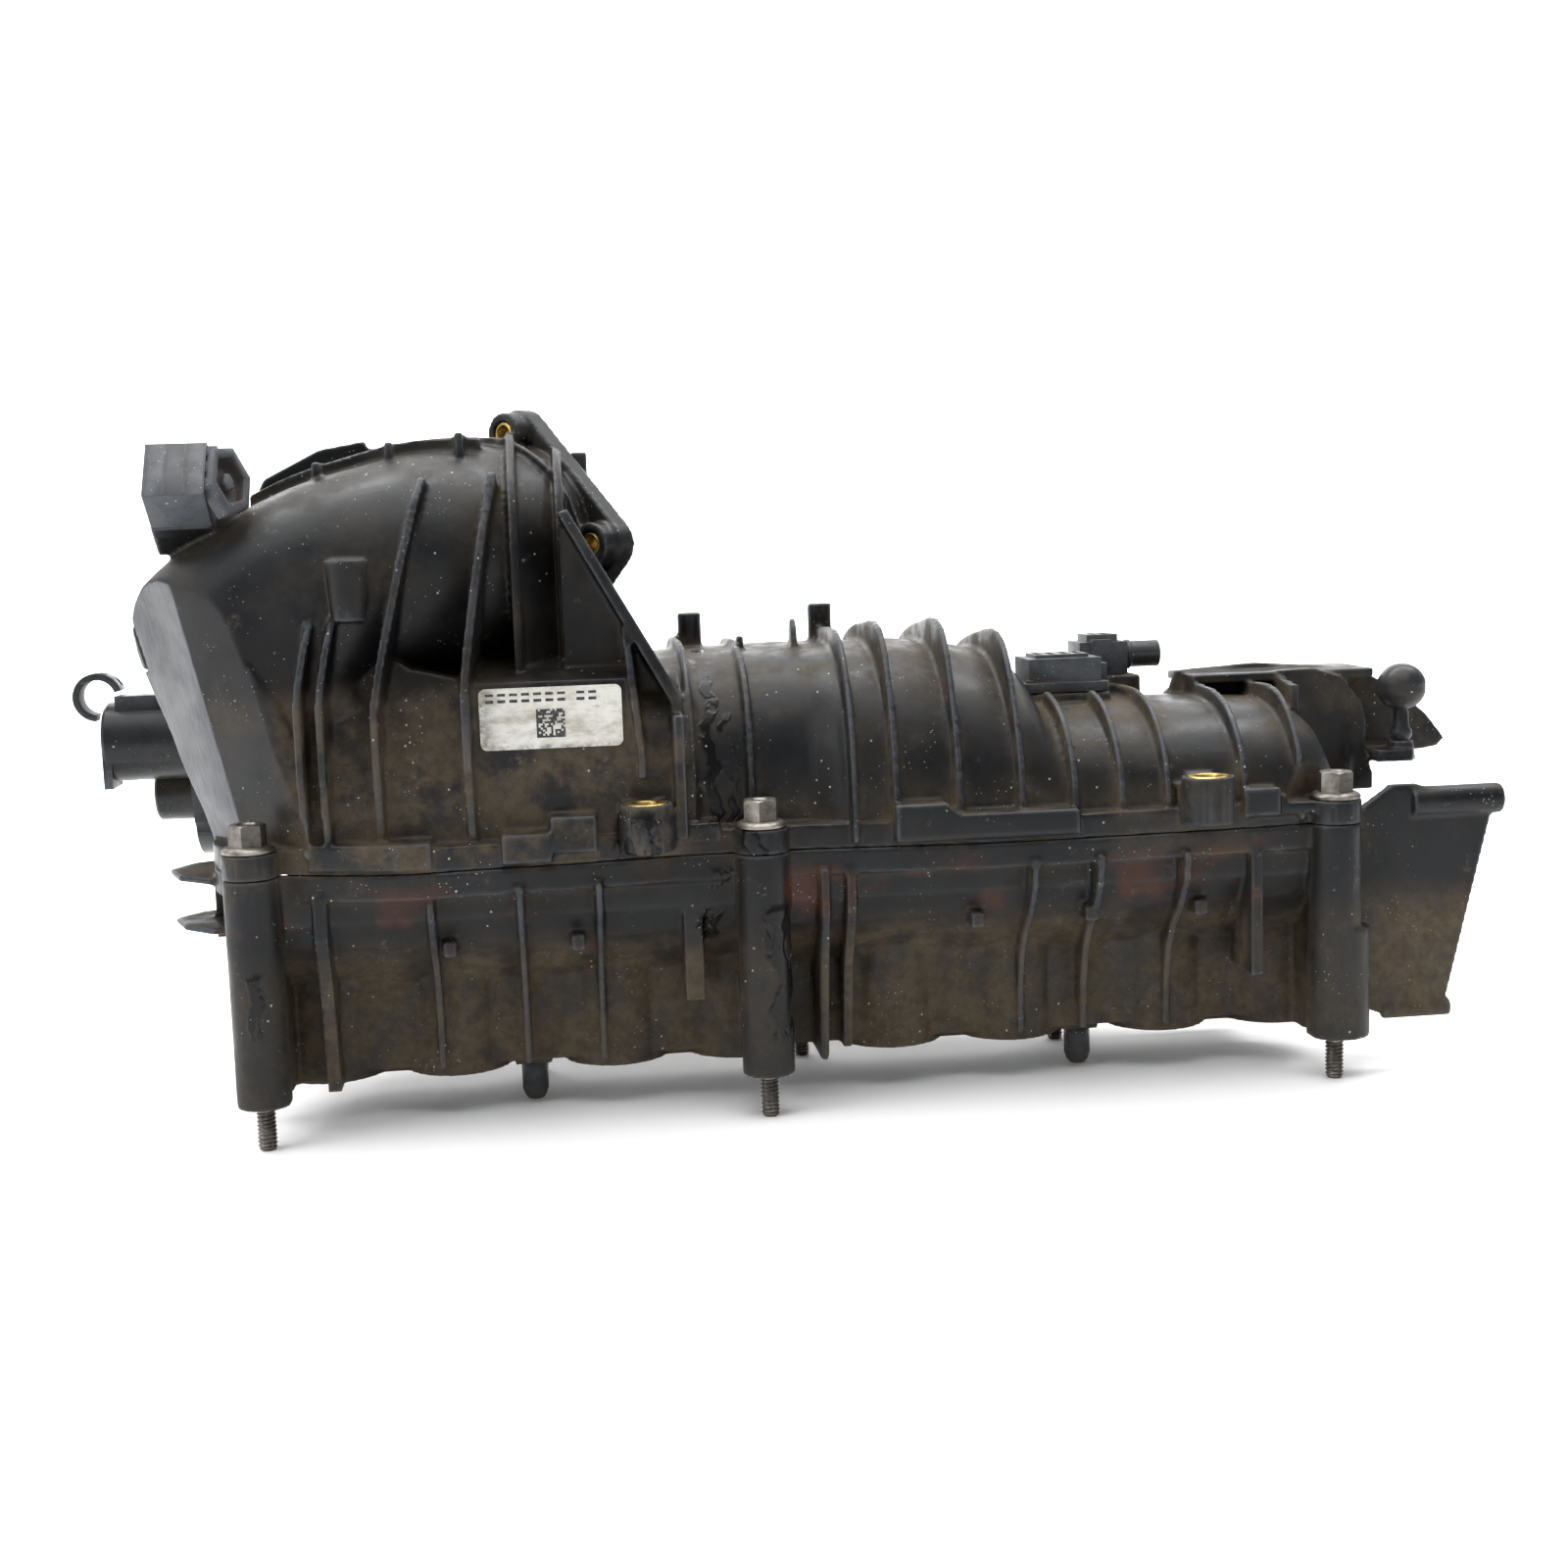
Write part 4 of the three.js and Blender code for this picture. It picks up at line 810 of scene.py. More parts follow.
def tie(obj, name, look, node=None, body="manifold"):
    """Names a finished piece, gives it its material, and ties it to the frame."""
    slot, material = look
    obj.name = name
    obj.data.name = name
    obj.data.materials.clear()
    obj.data.materials.append(material)
    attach(obj, body)
    if node:
        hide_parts(node)


def keep(obj, node, style, look, number=None, body="manifold"):
    """Ties a piece in place of the CAD node of the same name."""
    mark = "" if number is None else f"_{number}"
    tie(obj, f"{node}_{style}{mark}", look, node + mark, body)


# ---- Material nodes ----
class Graph:
    """A short way to write a material's nodes."""

    def __init__(self, name):
        self.material = bpy.data.materials.new(name)
        self.material.use_nodes = True
        self.tree = self.material.node_tree
        self.shader = self.tree.nodes["Principled BSDF"]
        self.place = self.node("ShaderNodeTexCoord").outputs["Object"]

    def node(self, kind, values=None, **settings):
        made = self.tree.nodes.new(kind)
        for key, value in settings.items():
            setattr(made, key, value)
        self.fill(made, values or {})
        return made

    def fill(self, made, values):
        for name, value in values.items():
            self.link(value, made.inputs[name])

    def link(self, value, socket):
        if isinstance(value, bpy.types.NodeSocket):
            self.tree.links.new(value, socket)
        elif hasattr(socket.default_value, "__len__"):
            socket.default_value = tuple(value) + (1.0,) * (len(socket.default_value) - len(value))
        else:
            socket.default_value = value

    def math(self, operation, *values, clamp=False):
        made = self.node("ShaderNodeMath", operation=operation, use_clamp=clamp)
        for value, socket in zip(values, made.inputs):
            self.link(value, socket)
        return made.outputs[0]

    def mix(self, share, first, second):
        made = self.node("ShaderNodeMix", data_type="RGBA")
        self.fill(made, {"Factor": share, "A": first, "B": second})
        return made.outputs["Result"]

    def ramp(self, value, low, high, bottom=0.0, top=1.0):
        values = {"Value": value, "From Min": low, "From Max": high, "To Min": bottom, "To Max": top}
        return self.node("ShaderNodeMapRange", values, interpolation_type="SMOOTHSTEP").outputs["Result"]

    def noise(self, scale, detail=4, stretch=None, rough=0.55):
        place = self.place
        if stretch:
            place = self.node("ShaderNodeMapping", {"Scale": stretch, "Vector": place}).outputs["Vector"]
        values = {"Vector": place, "Scale": scale, "Detail": detail, "Roughness": rough}
        return self.node("ShaderNodeTexNoise", values).outputs["Fac"]

    def specks(self, scale, size):
        made = self.node("ShaderNodeTexVoronoi", {"Vector": self.place, "Scale": scale})
        return self.ramp(made.outputs["Distance"], size, size * 0.6)

    def axis(self, index):
        split = self.node("ShaderNodeSeparateXYZ")
        self.link(self.place, split.inputs[0])
        return self.math("MULTIPLY", split.outputs[index], 1 / MM)

    def span(self, index, low, high, bottom=0.0, top=1.0):
        """A ramp along the X, Y or Z axis, in millimetres."""
        return self.ramp(self.axis(index), low, high, bottom, top)

    def rest(self, value):
        return self.math("SUBTRACT", 1.0, value)

    def times(self, *values):
        product = values[0]
        for value in values[1:]:
            product = self.math("MULTIPLY", product, value)
        return product

    def largest(self, *values):
        most = values[0]
        for value in values[1:]:
            most = self.math("MAXIMUM", most, value)
        return most

    def facing(self, direction):
        dot = self.node("ShaderNodeVectorMath", operation="DOT_PRODUCT")
        self.link(self.node("ShaderNodeNewGeometry").outputs["Normal"], dot.inputs[0])
        dot.inputs[1].default_value = direction
        return dot.outputs["Value"]

    def hidden(self, reach):
        """How far a point lies in a corner or recess, from 0 to 1."""
        shade = self.node("ShaderNodeAmbientOcclusion", {"Distance": reach * MM}, samples=6)
        return self.math("SUBTRACT", 1.0, shade.outputs["AO"])

    def edges(self, low, high):
        return self.ramp(self.node("ShaderNodeNewGeometry").outputs["Pointiness"], low, high)

    def bump(self, height, strength, distance, before=None):
        values = {"Strength": strength, "Distance": distance * MM, "Height": height}
        if before is not None:
            values["Normal"] = before
        return self.node("ShaderNodeBump", values).outputs["Normal"]

    def finish(self, colour, roughness, normal=None, metallic=0.0, specular=0.5):
        values = {"Base Color": colour, "Roughness": roughness, "Metallic": metallic,
                  "Specular IOR Level": specular}
        if normal is not None:
            values["Normal"] = normal
        self.fill(self.shader, values)
        return self.material


BLACK = (0.0065, 0.0068, 0.0075)
# black for soot and oil, also used for painted shade
SOOT_AND_SHADE_BLACK = (0.0035, 0.0032, 0.0035)
DUST = (0.088, 0.067, 0.042)
PALE_DUST = (0.14, 0.125, 0.095)
GLINT = (0.070, 0.022, 0.010)
WORN_EDGE_HIGHLIGHT = (0.085, 0.093, 0.105)
SPECK = (0.45, 0.44, 0.40)
# tones of a painted reflection on the slanted face at the left end
BAND_REFLECTION_DARK = (0.040, 0.042, 0.046)
BAND_REFLECTION_LIGHT = (0.115, 0.12, 0.128)
BAND_FACING = (-0.804, -0.559, -0.2006)


def near(graph, index, centre, spread):
    """1 at a place along an axis, fading to 0 over the spread."""
    away = graph.math("ABSOLUTE", graph.math("SUBTRACT", graph.axis(index), centre))
    return graph.ramp(away, spread, spread * 0.35)


def oil(graph, places):
    """Glossy runs of oil that wander down from a place: X, spread, lowest and highest Z."""
    wander = graph.math("MULTIPLY", graph.math("SUBTRACT", graph.noise(45, 3, (0.3, 0.3, 1)), 0.5), 26)
    beads = graph.ramp(graph.noise(150, 3, (1, 1, 0.45)), 0.43, 0.50)
    front = graph.span(1, 24, 8)
    runs = []
    for x, spread, low, high in places:
        away = graph.math("ABSOLUTE", graph.math("SUBTRACT", graph.math("ADD", graph.axis(0), wander), x))
        line = graph.ramp(away, spread, spread * 0.55)
        tall = graph.times(graph.span(2, low, low + 4), graph.span(2, high + 3, high))
        runs.append(graph.times(line, tall, beads, front))
    return graph.largest(*runs)


def dirty_nylon(name, base=BLACK, dust_amount=1.0, roughness=0.40, body=False, lower=False):
    """Dark glass-filled nylon with worn edges that also carry a painted highlight, dust in its corners and a fine
    moulded grain.
    """
    g = Graph(name)
    cloud = g.noise(16, 5)
    patch = g.noise(52, 7, rough=0.68)
    fine = g.noise(230, 5, rough=0.7)
    grain = g.noise(1500, 3)
    corner = g.hidden(14)
    colour = g.mix(g.ramp(cloud, 0.35, 0.7), base, tuple(c * 1.9 for c in base))
    # dust gathers in corners, lies on level faces and clings to the walls in patches
    cornered = g.times(g.ramp(corner, 0.12, 0.6), g.ramp(patch, 0.36, 0.6, 0.25, 1.0), 0.95)
    level = g.times(g.ramp(g.facing((0, 0, 1)), 0.5, 0.98), g.ramp(patch, 0.42, 0.66, 0.02, 0.55))
    clinging = g.times(g.ramp(cloud, 0.46, 0.62), g.ramp(patch, 0.4, 0.62), 0.4)
    # painted shade: the deepest hollows keep only a quarter of their dust, so they stay dark
    dust = g.times(g.largest(cornered, level, clinging), g.ramp(corner, 0.72, 0.95, 1.0, 0.25))
    if body:
        # painted shade: faces that look down above Z 120 are painted near black as if in shadow, and lose their dust
        painted_underside_shade = g.times(g.ramp(g.facing((0, 0, -1)), -0.12, 0.3), g.span(2, 120, 128))
        dust = g.times(dust, g.span(2, 125, 165, 1.0, 0.45), g.rest(painted_underside_shade))
        colour = g.mix(g.times(painted_underside_shade, 0.9), colour, SOOT_AND_SHADE_BLACK)
        wall = g.times(g.span(2, 132, 118), g.span(0, -36, -48), g.span(0, -170, -158),
                       g.ramp(patch, 0.38, 0.58), 0.66)
        dust = g.largest(dust, wall)
    if lower:
        film = g.times(g.ramp(patch, 0.34, 0.58, 0.25, 0.95), g.span(2, 52, 34), g.span(1, -41, -34, 0.25, 0.85))
        # painted shadow: front faces near Z 52, under the flange lip, lose their dust and stay dark
        painted_flange_shadow = g.times(near(g, 2, 52, 13), g.ramp(g.facing((0, -1, 0)), 0.0, 0.4), 0.8)
        dust = g.largest(g.times(dust, g.rest(painted_flange_shadow)), film)
        # painted reflection: reddish-brown glints in patches near Z 56
        under = g.times(near(g, 2, 56, 13), g.ramp(g.noise(34, 4), 0.52, 0.66), g.span(0, 162, 152))
        colour = g.mix(g.times(under, 0.6), colour, GLINT)
    dust = g.math("MULTIPLY", dust, dust_amount, clamp=True)
    # worn edges and painted edge highlights: ridges found by pointiness turn bluish grey
    edge = g.times(g.edges(0.512, 0.57), g.ramp(fine, 0.3, 0.55, 0.25, 0.8))
    gloss = g.ramp(patch, 0.3, 0.7, roughness - 0.10, roughness + 0.14)
    wet = None
    if body:
        wet = oil(g, [(-32, 2.6, 76, 134), (-26, 1.6, 76, 110), (-21, 4, 64, 80), (-56, 8, 68, 84)])
        soot_and_shade = g.times(near(g, 0, -83, 9), g.span(2, 186, 165), g.span(1, -8, -14), g.span(2, 118, 126))
        # a rough black band along Z 133 left of X -60, which is painted shade under the inlet's neck, and stains on
        # the web beside it
        neck = g.times(near(g, 2, 133, 12), g.span(0, -52, -60), g.ramp(patch, 0.36, 0.52))
        web = g.times(g.span(0, -76, -71), g.span(0, -42, -46), g.ramp(cloud, 0.44, 0.53), g.span(2, 112, 124),
                      g.span(2, 168, 156), g.span(1, -10, -16))
        soot_and_shade = g.largest(soot_and_shade, g.math("MULTIPLY", g.largest(neck, web), 0.85))
        colour = g.mix(soot_and_shade, colour, SOOT_AND_SHADE_BLACK)
        dust = g.times(dust, g.rest(g.times(soot_and_shade, 0.85)))
    if lower:
        wet = oil(g, [(-17, 4.5, 10, 52), (-34, 4, 40, 64), (-173, 3, 20, 40)])
    if wet is not None:
        dust = g.times(dust, g.rest(wet))
        colour = g.mix(wet, colour, SOOT_AND_SHADE_BLACK)
        edge = g.times(edge, g.rest(wet))
    colour = g.mix(dust, colour, g.mix(g.ramp(fine, 0.35, 0.7), DUST, tuple(c * 0.6 for c in DUST)))
    gloss = g.math("ADD", gloss, g.math("MULTIPLY", dust, 0.35), clamp=True)
    colour = g.mix(g.times(edge, 0.62), colour, WORN_EDGE_HIGHLIGHT)
    smudge = g.times(g.ramp(g.noise(85, 7, rough=0.75), 0.60, 0.72), 0.35)
    colour = g.mix(g.times(smudge, dust_amount), colour, PALE_DUST)
    white = g.times(g.specks(240, 0.10), g.ramp(g.noise(40, 2), 0.50, 0.60))
    tiny = g.times(g.specks(620, 0.13), g.ramp(g.noise(70, 3), 0.52, 0.64))
    colour = g.mix(g.times(g.largest(white, tiny), 0.7), colour, SPECK)
    if body:
        # painted reflection: faces turned toward BAND_FACING at the left end get a light grey band, streaked like
        # scratches
        painted_band_reflection = g.times(g.ramp(g.facing(BAND_FACING), 0.965, 0.99), g.span(0, -165, -170))
        scratch = g.noise(700, 5, (1.0, 1.0, 0.05), 0.5)
        shade = g.times(g.ramp(scratch, 0.2, 0.8, 0.35, 1.0), g.ramp(g.noise(30, 4), 0.3, 0.62, 0.35, 1.0))
        colour = g.mix(g.times(painted_band_reflection, 0.92), colour, g.mix(shade, BAND_REFLECTION_DARK, BAND_REFLECTION_LIGHT))
    if wet is not None:
        gloss = g.mix(wet, gloss, (0.27, 0.27, 0.27))
    normal = g.bump(grain, 0.2, 0.10)
    normal = g.bump(patch, 0.16, 0.5, normal)
    normal = g.bump(fine, 0.25, 0.16, normal)
    if wet is not None:
        normal = g.bump(wet, 0.5, 0.8, normal)
    return g.finish(colour, gloss, normal, specular=0.20)


def metal(name, base, roughness, dirt, stain=(0.16, 0.11, 0.07)):
    g = Graph(name)
    patch = g.noise(320, 5, rough=0.6)
    corner = g.hidden(3)
    colour = g.mix(g.ramp(patch, 0.35, 0.7), base, tuple(c * 0.62 for c in base))
    grime = g.math("MULTIPLY", g.largest(g.ramp(corner, 0.3, 0.9), g.ramp(patch, 0.55, 0.75)), dirt)
    colour = g.mix(grime, colour, stain)
    normal = g.bump(g.noise(1800, 3), 0.15, 0.06)
    return g.finish(colour, g.ramp(patch, 0.3, 0.7, roughness - 0.08, roughness + 0.14), normal, 1.0)


def rubber(name):
    g = Graph(name)
    patch = g.noise(400, 4)
    colour = g.mix(g.ramp(patch, 0.35, 0.7), (0.008, 0.008, 0.008), (0.022, 0.021, 0.02))
    return g.finish(colour, g.ramp(patch, 0.3, 0.7, 0.55, 0.8), g.bump(patch, 0.2, 0.1))


def acetal(name):
    g = Graph(name)
    patch = g.noise(240, 4)
    colour = g.mix(g.ramp(patch, 0.4, 0.7), (0.52, 0.49, 0.40), (0.36, 0.32, 0.24))
    colour = g.mix(g.math("MULTIPLY", g.ramp(g.hidden(4), 0.3, 0.9), 0.6), colour, (0.08, 0.065, 0.045))
    return g.finish(colour, g.ramp(patch, 0.3, 0.7, 0.32, 0.5), g.bump(g.noise(1600, 2), 0.1, 0.05))


def label_film(name):
    g = Graph(name)
    smear = g.noise(90, 6, (1, 1, 2.2), 0.68)
    spots = g.noise(420, 5, rough=0.7)
    colour = g.mix(g.ramp(smear, 0.4, 0.72), (0.56, 0.55, 0.51), (0.30, 0.28, 0.23))
    colour = g.mix(g.math("MULTIPLY", g.ramp(spots, 0.6, 0.74), 0.65), colour, (0.10, 0.09, 0.07))
    edge = g.span(0, -97, -104)
    foot = g.span(2, 108, 105)
    worn = g.math("MULTIPLY", g.largest(edge, foot), g.ramp(spots, 0.4, 0.6))
    colour = g.mix(g.math("MULTIPLY", worn, 0.7), colour, (0.09, 0.085, 0.08))
    return g.finish(colour, g.ramp(smear, 0.3, 0.7, 0.38, 0.6), g.bump(spots, 0.12, 0.08))


def ink(name):
    g = Graph(name)
    patch = g.noise(900, 3)
    colour = g.mix(g.ramp(patch, 0.45, 0.8), (0.012, 0.012, 0.013), (0.08, 0.078, 0.07))
    return g.finish(colour, 0.5, g.bump(patch, 0.05, 0.02))


SHELL_UP = ("glass_filled_nylon", dirty_nylon("shell_nylon", body=True))
SHELL_LOW = ("glass_filled_nylon", dirty_nylon("lower_shell_nylon", lower=True))
DARK = ("dark_nylon", dirty_nylon("dark_nylon", (0.011, 0.0115, 0.0125), 0.5, 0.34))
GREY = ("grey_nylon", dirty_nylon("grey_nylon", (0.026, 0.027, 0.029), 0.55, 0.5))
DARK_GREY = ("dark_nylon", GREY[1])
ZINC = ("zinc_steel", metal("zinc_steel", (0.21, 0.195, 0.175), 0.42, 0.7, (0.085, 0.065, 0.045)))
STEEL = ("plain_steel", metal("plain_steel", (0.40, 0.40, 0.39), 0.4, 0.6))
BRASS = ("brass", metal("brass", (0.46, 0.33, 0.11), 0.38, 0.55, (0.10, 0.075, 0.03)))
RUBBER = ("seal_rubber", rubber("seal_rubber"))
ACETAL = ("natural_acetal", acetal("natural_acetal"))
FILM = ("label_film", label_film("label_film"))
INK = ("label_film", ink("label_ink"))


# ---- Shells ----
upper = combine([combine(upper_outer())], upper_cuts())
upper = combine([upper, seam_lip(WALL - 0.6, WALL + 1.9, 127, 130.8), seam_lip(WALL + 0.5, WALL + 1.9, 130, 134)])
keep(moulded(upper), "upper_shell", "moulding", SHELL_UP)

lower = combine([combine(lower_outer())], lower_cuts())
keep(moulded(lower), "lower_shell", "moulding", SHELL_LOW)


def rear_cover():
    fin = [(-178, 174), (-170, 190), (-152, 199), (-137, 201.5), (-137, 199), (-110, 199), (-108, 176)]
    rim = both(elbow_body(-4), box(-172, -100, 3.4, 6, 150, 215))
    outer = combine([combine([elbow_body(0)], [corner_tool(0)]), rim, prism("y", fin, 19, 21.6)])
    outer = combine([outer], [combine([elbow_body(WALL)], [corner_tool(WALL)])])
    return both(outer, box(-230, -120 - GAP, 3 + GAP, 60, 131 + GAP, 215))


tie(moulded(rear_cover()), "elbow_cover_moulding", SHELL_UP, "elbow_rear_cover")


# ---- Fasteners ----
def thread(x, y, low, high, outer=2.97, depth=0.62, pitch=1.25, sides=36):
    """A screw thread as one closed skin with a chamfered tip."""
    steps = int((high - low) / (pitch / 8))
    rings = []
    for step in range(steps + 1):
        z = low + (high - low) * step / steps
        points = []
        for i in range(sides):
            phase = (z / pitch - i / sides) % 1
            radius = outer - depth * abs(2 * phase - 1)
            radius = min(radius, 2.0 + (z - low) * 0.9)
            angle = 2 * math.pi * i / sides
            points.append((x + radius * math.cos(angle), y + radius * math.sin(angle), z))
        rings.append(points)
    return loft(rings)


HEAD_HIGH = 8.6
HEXAGON_R = 5.77
WASHER = [(6.5, 0), (7.9, 0.1), (8, 0.9), (7.5, 1.5), (6.4, 2.1)]


def flange_bolt(x, y, seat_z):
    """A hexagon bolt with its flange on the seat; its head has chamfered corners and a dished top."""
    seat = seat_z + GAP
    top = seat + HEAD_HIGH
    washer = turned("z", [(r, seat + z) for r, z in WASHER], x, y, 56)
    hexagon = prism("z", circle(x, y, HEXAGON_R, 6, 0.35), seat + 1, top)
    cap = turned("z", [(7, seat), (7, top - 1.3), (5, top)], x, y, 56)
    dish = turned("z", [(2.6, top - 0.5), (3.6, top + 0.8)], x, y)
    head = combine([both(hexagon, cap)], [dish])
    shank = rod("z", 2.6, BOLT_TIP_Z + 12, seat + 1.5, x, y)
    plain = crisp(combine([head, washer, shank]), 0.18)
    return smooth(combine([plain, thread(x, y, BOLT_TIP_Z, BOLT_TIP_Z + 13)]), 38)


for side, places, seat_z in (("front", FRONT_BOLTS, FLANGE_TOP_Z), ("rear", REAR_BOLTS, REAR_LUG_Z)):
    for i, (x, y) in enumerate(places, 1):
        keep(flange_bolt(x, y, seat_z), f"{side}_bolt", "detailed", ZINC, i)
        keep(ring("z", SLEEVE_R, 3.4, GAP, seat_z, x, y), f"{side}_sleeve", "round", STEEL, i)
for i, (x, y) in enumerate(PORTS, 1):
    seal = ring("z", SEAL_R, BORE_R + 0.6, -0.6, 2.3, x, y, 0.7, 72)
    keep(smooth(seal), "port_seal", "round", RUBBER, i)
seal = at_inlet(ring("x", INLET_SEAL_R, INLET_BORE_R + 0.5, -2.3, 0.5, 0, 0, 0.7, 96))
keep(smooth(seal), "inlet_seal", "round", RUBBER)
for i, (y, z) in enumerate(LUG_PLACES, 1):
    keep(smooth(at_inlet(ring("x", 3.9, 2.6, -12.7, -0.1, y, z))), "inlet_insert", "round", BRASS, i)
for i, (x, y) in enumerate(BOSSES, 1):
    insert = ring("z", INSERT_R, 4, BOSS_LOW_Z + 2 + GAP, BOSS_TOP_Z + 0.2, x, y)
    keep(smooth(insert), "boss_insert", "round", BRASS, i)


def locating_peg(x, y):
    profile = [(3, 9.8), (3, -GAP), (4.1, -GAP - 0.1), (4.3, -0.8), (4.3, -9), (3.6, -11.2), (2.6, -12.5)]
    return combine([turned("z", profile, x, y)], [box(x - 6, x + 6, y - 0.7, y + 0.7, -13, -2)])


for i, (x, y) in enumerate(PEGS, 1):
    keep(crisp(locating_peg(x, y), 0.2), "locating_peg", "round", DARK, i)


# ---- Label with generic marks ----
def label_plate():
    x0, x1, z0, z1, corner = -103.5, -60.5, 105.3, 124, 2
    left, right, low, high = x0 + corner, x1 - corner, z0 + corner, z1 - corner
    outline = []
    for quarter, (x, z) in enumerate([(right, high), (left, high), (left, low), (right, low)]):
        outline += arc(x, z, corner, 90 * quarter, 90 * quarter + 90, 6)
    return prism("y", outline, -38.6, -38.3)


def label_print():
    """A row of dashes over a square of random cells: marks with no meaning."""
    rng = random.Random(SEED)
    verts, faces = [], []

    def mark(x0, x1, z0, z1):
        base = len(verts)
        for y in (-38.64, -38.58):
            verts.extend([(x0, y, z0), (x1, y, z0), (x1, y, z1), (x0, y, z1)])
        for quad in ((0, 1, 2, 3), (7, 6, 5, 4), (0, 4, 5, 1), (1, 5, 6, 2), (2, 6, 7, 3), (3, 7, 4, 0)):
            faces.append([base + k for k in quad])

    for i in range(9):
        left = -101.5 + i * 3.6 + (2.2 if i > 6 else 0)
        mark(left, left + 2.4, 119.6, 120.5)
        mark(left, left + 2.4, 121.6, 122.4)
    cell = 0.62
    for row in range(14):
        for column in range(14):
            solid = column == 0 or row == 0 or (column == 13 and row % 2 == 0) or (row == 13 and column % 2 == 0)
            if solid or rng.random() < 0.5:
                left, foot = -86.5 + column * cell, 108.6 + row * cell
                mark(left, left + cell, foot, foot + cell)
    return make("part", verts, faces)


tie(label_plate(), "label_film_plate", FILM, "label")
tie(label_print(), "label_generic_marks", INK)


# ---- Fittings ----
def ball_stud():
    x, y = BALL_PLACE
    ball = [(8.2 * math.sin(math.radians(a)), BALL_Z - 8 * math.cos(math.radians(a))) for a in range(16, 176, 5)]
    profile = [(2.2, 84.5), (2.2, 90), (3.6, 92.2), (3.6, 94), (2.6, 95.5), (2.4, 100.5)] + ball
    return smooth(turned("z", [(min(r, 8), z) for r, z in profile], x, y, 64), 40)


keep(ball_stud(), "ball_stud", "round", DARK)


def pressure_sensor():
    outline = [(74, -2), (88, -2), (102, -2), (102, 10), (102, 22), (88, 22), (74, 22), (74, 10)]
    plate = prism("z", rounded(outline, 4), 112.3, 115.5)
    parts = [plate, box(76, 100.5, 0, 20, 115, 123.4), box(79, 97, 3, 17, 123, 124.6), box(96, 104, 5, 15, 114, 121)]
    parts += [rod("z", 4.4, 100, 113, 87, 10), rod("z", 1.5, 115, 116.4, 76.5, 1, 20)]
    slots = [box(80 + i * 4.5, 82.2 + i * 4.5, 4.5, 15.5, 124, 126) for i in range(4)]
    slots.append(box(98, 106, 6.5, 13.5, 115.5, 119.5))
    return crisp(combine([combine(parts)], slots), 0.5)


def temperature_sensor():
    nozzle = (36, 121.5)
    parts = [box(101, 118, 28, 44, 115.3, 126.5), box(104, 115, 30, 42, 126, 129), box(105, 112, 27, 33, 118, 127.4),
             rod("x", 4.6, 116, 131, *nozzle), rod("z", 4, 101, 116, 109, 36), ring("x", 5.2, 4.2, 119, 121, *nozzle)]
    slots = [rod("x", 3.4, 125, 132, *nozzle)] + [box(x, x + 2, 31, 41, 128, 130) for x in (106.5, 110.5)]
    return crisp(combine([combine(parts)], slots), 0.45)


keep(pressure_sensor(), "pressure_sensor", "detailed", GREY)
keep(temperature_sensor(), "temperature_sensor", "detailed", GREY)


def cable_connector():
    shell = prism("x", [(-7.5, -9), (-7.5, 11), (5, 12.5), (7.5, 12.5), (7.5, -9)], -8.5, 9.5)
    tools = [box(-6.5, 7.5, -5.5, 5.5, 4, 14)]
    teeth = [box(9, 12.6, -7.5, -3, -6.5 + 6.2 * i, -2.7 + 6.2 * i) for i in range(3)]
    tongue = [box(-5.3, 6.3, -1.6, 1.6, 3, 10.5), box(9, 11, -3, 6, -8, 11)]
    ribs = [box(-8.5 + 5.8 * i, -7.9 + 5.8 * i, -7.9, -7.3, -8.6, 10.6) for i in range(4)]
    return lean_back(crisp(combine([combine([shell], tools)] + tongue + ribs + teeth), 0.4))


def connector_latch():
    outer = [(7.5, -6), (7.5, 6), (0, 13), (-7.5, 8), (-7.5, -6), (0, -12.5)]
    inner = [(u * 0.68, v * 0.68) for u, v in outer]
    middle = [(u * 0.26, v * 0.26) for u, v in outer]
    body = combine([prism("x", outer, 10.2, 15)], [prism("x", inner, 11.8, 17)])
    body = combine([body, prism("x", middle, 11, 14.2)])
    facing_out = Matrix.Translation((12.5, -1, 0)) @ Matrix.Rotation(math.radians(-38), 4, "Z")
    body = placed(body, facing_out @ Matrix.Translation((-11, 1, 0)))
    return lean_back(crisp(body, 0.5))


def cable_clip():
    outline = arc(*CLIP_CENTRE, 8.2, 15, 262, 40) + arc(*CLIP_CENTRE, 5.9, 262, 15, 40)
    hoop = prism("y", outline, 54, 62)
    notches = []
    for i in range(6):
        angle = math.radians(35 + i * 40)
        y0 = 54.8 if i % 2 else 58.6
        u, v = CLIP_CENTRE[0] + 8.3 * math.cos(angle), CLIP_CENTRE[1] + 8.3 * math.sin(angle)
        notches.append(box(u - 1.2, u + 1.2, y0, y0 + 2.6, v - 1.2, v + 1.2))
    return crisp(combine([hoop], notches), 0.3)


keep(cable_connector(), "cable_connector", "detailed", DARK_GREY)
keep(connector_latch(), "connector_latch", "detailed", DARK_GREY)
keep(cable_clip(), "cable_clip", "detailed", DARK)


# ---- Swirl flaps and linkage ----
def lever_pin(axis):
    angle = math.radians(LEVER_REST)
    return axis[0] + LEVER_ARM * math.cos(angle), axis[1] + LEVER_ARM * math.sin(angle)


SHAFT_AXIS = (SHAFT_Y, SHAFT_Z)
SHAFT_PIN = lever_pin(SHAFT_AXIS)
OUTPUT_PIN = lever_pin(OUTPUT_AXIS)


